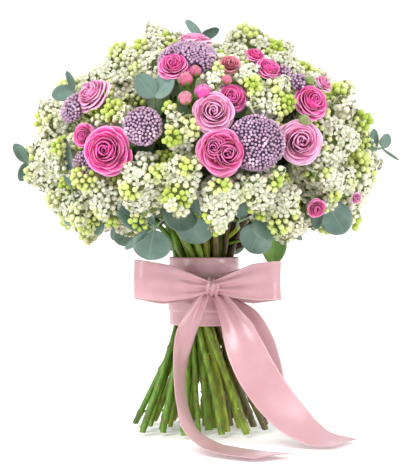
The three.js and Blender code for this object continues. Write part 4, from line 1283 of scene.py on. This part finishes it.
def makeStems(heads):
    chance = random.Random(stem["seed"])
    shape = Shape()
    rooted = [head for head in heads if not head["on"]]
    forks = {}
    for head, (out, turn) in zip(rooted, assignedSlots(rooted)):
        foot = polar(tie["footRadius"] * out, turn + tie["footTwist"], 0)
        edge = polar(tie["radius"] * out, turn + tie["edgeTwist"], tie["bottom"])
        top = polar(tie["radius"] * out, turn + tie["topTwist"], tie["top"])
        rising = (polar(out * 0.5, turn, 1) + polar(out * 0.35, turn - math.pi / 2, 0)).normalized()
        bend, end = reachFlower(head, top)
        foot += polar(chance.uniform(0, stem["strayFoot"]), chance.uniform(0, anyTurn), 0)
        lean = polar(chance.uniform(0, stem["strayLean"]), chance.uniform(0, anyTurn), 0)
        line = smoothPath([
            foot, foot.lerp(edge, 0.5) + lean, edge, edge.lerp(top, 0.5), top,
            top.lerp(bend, 0.55) + rising * 3, bend.lerp(end, 0.4), end,
        ], stem["perSpan"])
        # Fewer sections above the wrap, where little shows
        line = line[:stem["finely"]] + line[stem["finely"]:-1:stem["everyAbove"]] + line[-1:]
        forks[head["name"]] = top.lerp(bend, 0.5)
        radius = stemRadius[head["kind"]] * chance.uniform(*stem["thickness"])
        # Green at the left, browner to the right, and darker and browner behind, which is painted shade on
        # the rear stems
        brownerAndShadedBehind = foot.x / stem["browningAndShade"][0] + foot.y / stem["browningAndShade"][1]
        shade = max(0, min(1, 0.5 + brownerAndShadedBehind + chance.uniform(*stem["shade"])))
        lengths = [0.0]
        for before, point in zip(line, line[1:]):
            lengths.append(lengths[-1] + (point - before).length)
        nodes = stemNodes(lengths[-1], chance)
        bulges = nodeBulges(lengths, nodes)
        tube(shape, line, stemRadii(lengths, radius, bulges), stem["sides"], shade, 1, bulges)
        for node in nodes:
            if node < stub["below"] and chance.random() < stub["share"]:
                addStub(shape, line, lengths, node, radius, shade, chance)
    for head in heads:
        if head["on"]:
            fork = forks[head["on"]]
            line = smoothPath([fork, *reachFlower(head, fork)], stem["forkSpan"])
            radii = [stemRadius[head["kind"]] * stem["forkShare"]] * len(line)
            shade = chance.random() * stem["forkShade"]
            tube(shape, line, radii, stem["forkSides"], shade, marks=[0.0] * len(line))
    # Cut flat where they stand
    for point in shape.points:
        point.z = max(point.z, 0)
    build("stems", shape, ["stem", "stemCut"], "stems")


# Leaves on the stems inside the dome, which close the depth between the heads; their dark greens are painted
# shade for the dome's shaded underside

foliage = {
    "leaves": 190, "reach": 0.57, "spread": 0.09, "lowest": -0.75, "highest": 0.96, "outward": 0.35,
    "length": (34, 44), "width": (22, 28), "rows": 7, "columns": 5, "fold": 0.16, "arch": 0.3,
}


def makeFoliage():
    chance = random.Random("foliage")
    shape = Shape()
    for number in range(foliage["leaves"]):
        share = (number + 0.5) / foliage["leaves"]
        rise = foliage["lowest"] + (foliage["highest"] - foliage["lowest"]) * share
        outward = polar(math.sqrt(1 - rise * rise), number * goldenAngle, rise)
        reach = foliage["reach"] + chance.uniform(-1, 1) * foliage["spread"]
        middle = Vector((
            outward.x * dome["radius"] * reach,
            outward.y * dome["radius"] * reach,
            dome["centre"] + outward.z * domeHeight(dome["centre"] + rise) * reach,
        ))
        sideways = up.cross(outward)
        axis = (sideways * chance.uniform(-1, 1) + outward.cross(sideways)).normalized()
        axis = (axis + outward * foliage["outward"]).normalized()
        across = axis.cross(outward).normalized()
        face = across.cross(axis)
        length = chance.uniform(*foliage["length"])
        width = chance.uniform(*foliage["width"])

        def leafSpot(u, t):
            half = width / 2 * math.sin(math.pi * (0.02 + 0.98 * t) ** 0.75)
            lift = width * (foliage["fold"] * abs(u) - foliage["arch"] * (t - 0.5) ** 2)
            return middle + axis * (length * (t - 0.5)) + across * (u * half) + face * lift

        shape.patch(evenly(foliage["rows"]), foliage["columns"], leafSpot, chance.random())
    build("stem_leaves", shape, ["shadeDarkInnerLeaf"], "stems")


# Ribbon

ribbon = {
    "width": 38, "thickness": 0.4, "perSpan": 9, "columns": 25, "rest": 0.4, "pleat": 3.4, "hollow": 0.8,
    "loopPleats": 2.5, "tailPleats": 1.5, "guideSpan": 12, "seed": 38,
}
knot = {
    "centre": Vector((7, -43.6, 141)), "radius": 7.9, "half": 6.4, "turns": 28, "columns": 15, "crease": 0.12,
    "belly": 0.1, "flare": 1.2, "wander": 2.4, "deep": 1.15, "tilt": 1.5, "end": Vector((8, 0, 0)),
}
wrap = {
    "levels": [121, 150, 134.5, 134.5], "radii": [34.0, 34.5, 35.0, 35.5], "turns": 3.5, "steps": 96,
    "columns": 21, "blend": 0.1, "radius": 34,
}
creases = {
    "count": 24, "turn": (-2.8, -0.3), "slope": (-0.5, 0.5), "height": (104, 167), "rise": (0.5, 0.9),
    "width": 1.7, "reach": 0.45,
}
twine = {
    "turns": 4, "radius": 32.4, "bottom": 134.9, "pitch": 1.9, "thickness": 0.85, "steps": 72, "sides": 6,
}
# Along the middle of a tail or a loop: its places, the way its width lies and half of that width. The skew
# is how far the cut end leans
tails = {
    "ribbon_tail_left": {
        "node": "ribbon_bow",
        "centres": [
            (2, -46, 136), (-9, -54, 114), (-18, -62, 94), (-22.5, -74, 72), (-22, -88, 50), (-18, -104, 31),
            (-10, -122, 15), (5, -140, 5), (22, -155, 1.6), (42, -168, 0.7), (62, -180, 0.7),
        ],
        "guides": [
            (-0.75, -0.4, 0.3), (-0.62, -0.75, 0.2), (-0.25, -0.95, 0), (-0.15, -0.97, 0), (-0.2, -0.97, 0),
            (-0.35, -0.93, 0), (-0.5, -0.87, 0),
        ],
        "halves": [5, 10, 15, 18, 19, 19, 19, 19, 19, 19, 19],
        "skew": -9,
        "flat": (0.038, 0.26),
    },
    "ribbon_tail_right": {
        "node": "ribbon_bow",
        "centres": [
            (12, -46, 136), (23, -62, 118), (32, -75, 101), (39.5, -85, 83), (50.5, -93, 61), (66, -100, 39),
            (83, -105, 21), (97, -108, 11), (114, -108, 3.5), (131, -105, 0.7),
        ],
        "guides": [(0.8, 0, 0.6), (0.87, 0.05, 0.5), (0.85, 0.25, 0.45), (0.6, 0.7, 0.3), (0.3, 0.95, 0)],
        "halves": [5, 10, 15.5, 18, 19, 19, 19, 19, 19, 19],
        "skew": 17,
        "flat": (0.038, 0.22),
    },
    "ribbon_tail_rear": {
        "node": "ribbon_rear_tail",
        "centres": [
            (18, -40, 126), (32, -45, 117), (43, -50, 106), (51, -58, 87), (56, -65, 67), (60, -72, 45),
        ],
        "guides": [(0.6, 0.1, 0.75), (0.85, 0.15, 0.5), (0.9, 0.2, 0.35)],
        "halves": [7, 11, 14, 17, 18, 18],
        "skew": -6,
        "flat": (0.038, 0.1),
    },
}
loops = {
    "ribbon_loop_left": {
        "centres": [
            (6, -50, 141), (-12, -57, 142), (-34, -64, 145), (-56, -64, 148), (-66, -55, 149),
            (-60, -45, 147), (-38, -41, 142.5), (-14, -41, 141), (4, -41, 141),
        ],
        "halves": [5, 12, 17.5, 18.5, 18.5, 18.5, 18.5, 13, 6],
        "flat": (0.038, 0.152),
    },
    "ribbon_loop_right": {
        "centres": [
            (8, -50, 141), (28, -57, 143), (48, -63, 146), (66, -62, 147.5), (74, -54, 147.5),
            (66, -45, 146), (46, -41, 143), (24, -41, 141.5), (10, -41, 141),
        ],
        "halves": [5, 12, 17.5, 18.5, 18.5, 18.5, 18.5, 13, 6],
        "flat": (0.038, 0.152),
    },
}


def sampled(values, t):
    spot = t * (len(values) - 1)
    step = min(int(spot), len(values) - 2)
    part = spot - step
    return values[step] * (1 - part) + values[step + 1] * part


def ribbonBand(name, centres, guides, halves, skew, pleats, chance):
    # Where the ribbon is drawn narrower than it was woven, the rest of its width stands in pleats
    line = smoothPath([Vector(point) for point in centres], ribbon["perSpan"])
    guideLine = smoothPath([Vector(point) for point in guides], ribbon["guideSpan"])
    phase = chance.uniform(0, anyTurn)
    last = len(line) - 1
    spans = len(centres) - 1

    def bandSpot(s, t):
        i = round(t * last)
        along = (line[min(i + 1, last)] - line[max(i - 1, 0)]).normalized()
        across = sampled(guideLine, t)
        across = (across - along * across.dot(along)).normalized()
        reach = sampled(halves, t)
        slack = max(0, 1 - reach / (ribbon["width"] / 2))
        lift = math.sin(pleats * math.pi * s + phase) * slack * ribbon["pleat"]
        lift -= ribbon["hollow"] * (1 - s * s) * (1 - slack)
        end = max(0, t - 1 + 1 / spans) * spans
        spot = line[i] + across * (s * reach) + along.cross(across) * lift + along * (s * skew * end)
        # It lies on what the bouquet stands on, never under it
        spot.z = max(spot.z, ribbon["rest"])
        return spot

    shape = Shape()
    shape.patch(evenly(len(line)), ribbon["columns"], bandSpot)
    return makeObject(name, shape, ["satin"])


def makeKnot():
    # The band that crosses over the bow's middle, closed behind it
    shape = Shape()

    def knotSpot(s, t):
        angle = 2 * math.pi * t
        wave = math.sin(3 * math.pi * s + 2 * math.sin(angle))
        out = knot["radius"] * (1 + knot["crease"] * wave + knot["belly"] * (1 - s * s))
        return knot["centre"] + Vector((
            s * (knot["half"] + knot["flare"] * math.cos(angle)) + knot["wander"] * math.sin(angle),
            -out * math.cos(angle) * knot["deep"],
            out * math.sin(angle) - knot["tilt"] * s,
        ))

    rows = shape.patch(evenly(knot["turns"] + 1), knot["columns"], knotSpot)
    left, right = [[row[end] for row in rows[:-1]] for end in (0, -1)]
    shape.fan(knot["centre"] - knot["end"], left)
    shape.fan(knot["centre"] + knot["end"], right[::-1])
    build("ribbon_knot", shape, ["satin"], "ribbon_bow")


def wrapValue(values, turn, lead, trail):
    # The value of this turn, reached from the last one's by an easy step where the turns meet
    value = values[0]
    for number in range(1, len(values)):
        step = max(0, min(1, (turn - number + lead) / (lead + trail)))
        value += (values[number] - values[number - 1]) * step * step * (3 - 2 * step)
    return value


def makeWrap(chance):
    # One length of ribbon, wound from the back: low, then high, then over both to the front
    ranges = [creases[label] for label in ("turn", "slope", "height", "rise")]
    drawn = [[chance.uniform(*limits) for limits in ranges] for _ in range(creases["count"])]

    def wrapSpot(s, t):
        turn = t * wrap["turns"]
        angle = math.pi / 2 + 2 * math.pi * turn
        z = wrapValue(wrap["levels"], turn, wrap["blend"], wrap["blend"]) + s * ribbon["width"] / 2
        out = wrapValue(wrap["radii"], turn, wrap["blend"], 0)
        for place, slope, height, rise in drawn:
            turned = (angle - place + math.pi) % (2 * math.pi) - math.pi
            ridge = (z - height) - turned * wrap["radius"] * slope
            fading = math.exp(-(turned / creases["reach"]) ** 2)
            out += rise * math.exp(-(ridge / creases["width"]) ** 2) * fading
        return polar(out, angle, z)

    shape = Shape()
    shape.patch(evenly(int(wrap["turns"] * wrap["steps"]) + 1), wrap["columns"], wrapSpot)
    return makeObject("ribbon_wrap_turns", shape, ["satin"])


def declareRibbon(piece, node):
    thicken(piece, ribbon["thickness"])
    addPiece(piece, node)


def makeRibbon():
    chance = random.Random(ribbon["seed"])
    upright = [(0, 0, 1), (0, 0, 1)]
    declareRibbon(makeWrap(chance), "ribbon_wrap")
    makeKnot()
    for name, loop in loops.items():
        pleats = ribbon["loopPleats"]
        band = ribbonBand(name, loop["centres"], upright, loop["halves"], 0, pleats, chance)
        declareRibbon(band, "ribbon_bow")
    for name, tail in tails.items():
        run = [tail[label] for label in ("centres", "guides", "halves", "skew")]
        band = ribbonBand(name, *run, ribbon["tailPleats"], chance)
        declareRibbon(band, tail["node"])


def makeTwine():
    shape = Shape()
    turns = [2 * math.pi * k / twine["steps"] for k in range(twine["steps"] + 1)]
    for number in range(twine["turns"]):
        ring = [polar(twine["radius"], turn, twine["bottom"] + twine["pitch"] * number) for turn in turns]
        tube(shape, ring, [twine["thickness"]] * len(ring), twine["sides"])
    build("binding_twine_turns", shape, ["twine"], "binding_twine")


def named(*endings, start=""):
    objects = bpy.data.objects
    return [piece for piece in objects if piece.name.endswith(endings) and piece.name.startswith(start)]


heads = makeRoses()
print("roses made")
heads += makeSprigs()
print("leaves made")
petalsAndLeaves = named("_petals", "_buds") + named("_blades")
tree = scatterTree()
roseShell = joinedCopy("Roses to keep clear of", named("_petals", "_buds"))
smallBud = closedBud(florets["mauve"], florets["mauveSides"], 1.0)
purpleHeads = makePurples(tree, flowerModels("mauve", smallBud, smallBud, roseShell))
print("mauve heads made")
mauve = named("_florets", start="purple")
shell = joinedCopy("Flowers and leaves to keep clear of", petalsAndLeaves + mauve)
floret = openFloret(florets["open"])
bud = closedBud(florets["bud"], florets["budSides"])
lilacModels = flowerModels("lilac", floret, bud, shell)
lilacHeads = makeLilac(tree, lilacModels)
makeShoots(tree, lilacModels)
print("lilac made")
order = [head for head in heads if head["kind"] == "rose"] + purpleHeads
order += [head for head in heads if head["kind"] != "rose"] + lilacHeads
makeStems(order)
makeFoliage()
print("stems made")
makeRibbon()
makeTwine()
print("ribbon made")
for helper in (roseShell, shell, floret, bud, smallBud):
    bpy.data.objects.remove(helper)


# Studio

# The floor's y and z, from in front of the bouquet to the wall behind it
floorProfile = [
    (-2600, 0), (500, 0), (1100, 50), (1600, 200), (2000, 500), (2300, 1000), (2400, 1700), (2400, 2900),
]
floorHalf = 3000
lights = {
    "Key": {"place": (-900, -1100, 1500), "size": 800, "power": 21},
    "Fill": {"place": (1200, -900, 900), "size": 1000, "power": 8},
    "Left strip": {"place": (-950, -560, 300), "size": 200, "power": 1.7},
    "Right strip": {"place": (950, -560, 300), "size": 200, "power": 1.7},
    "Top": {"place": (100, 200, 1700), "size": 1000, "power": 6},
}
lightsAim = Vector((0, 0, 220))
sensorWidth = 36
lens = 100.4
daylight = 0.72


def makeStage():
    shape = Shape()
    line = smoothPath([Vector((0, y, z)) for y, z in floorProfile], 6)
    rows = [[Vector((x, point.y, point.z)) for x in (floorHalf, -floorHalf)] for point in line]
    shape.grid(rows, [[(0, 0), (1, 0)] for _ in rows])
    makeObject("Floor", shape, ["floor"])


def placed(name, data, place):
    thing = linked(name, data)
    thing.location = place * metres
    return thing


def makeLights():
    for name, light in lights.items():
        data = bpy.data.lights.new(name, "AREA")
        data.size = light["size"] * metres
        data.energy = light["power"]
        place = Vector(light["place"])
        placed(name, data, place).rotation_euler = (lightsAim - place).to_track_quat("-Z", "Y").to_euler()
    world = bpy.data.worlds.new("Studio")
    world.use_nodes = True
    background = world.node_tree.nodes["Background"]
    setInputs(world.node_tree, background, {"Color": (1, 1, 1, 1), "Strength": daylight})
    bpy.context.scene.world = world


def makeCamera():
    data = bpy.data.cameras.new("Camera")
    data.sensor_width = sensorWidth
    data.lens = lens
    camera = placed("Camera", data, sight)
    camera.rotation_euler = (math.radians(90), 0, 0)
    bpy.context.scene.camera = camera


makeStage()
makeCamera()
makeLights()
bpy.context.scene.view_settings.view_transform = "Standard"
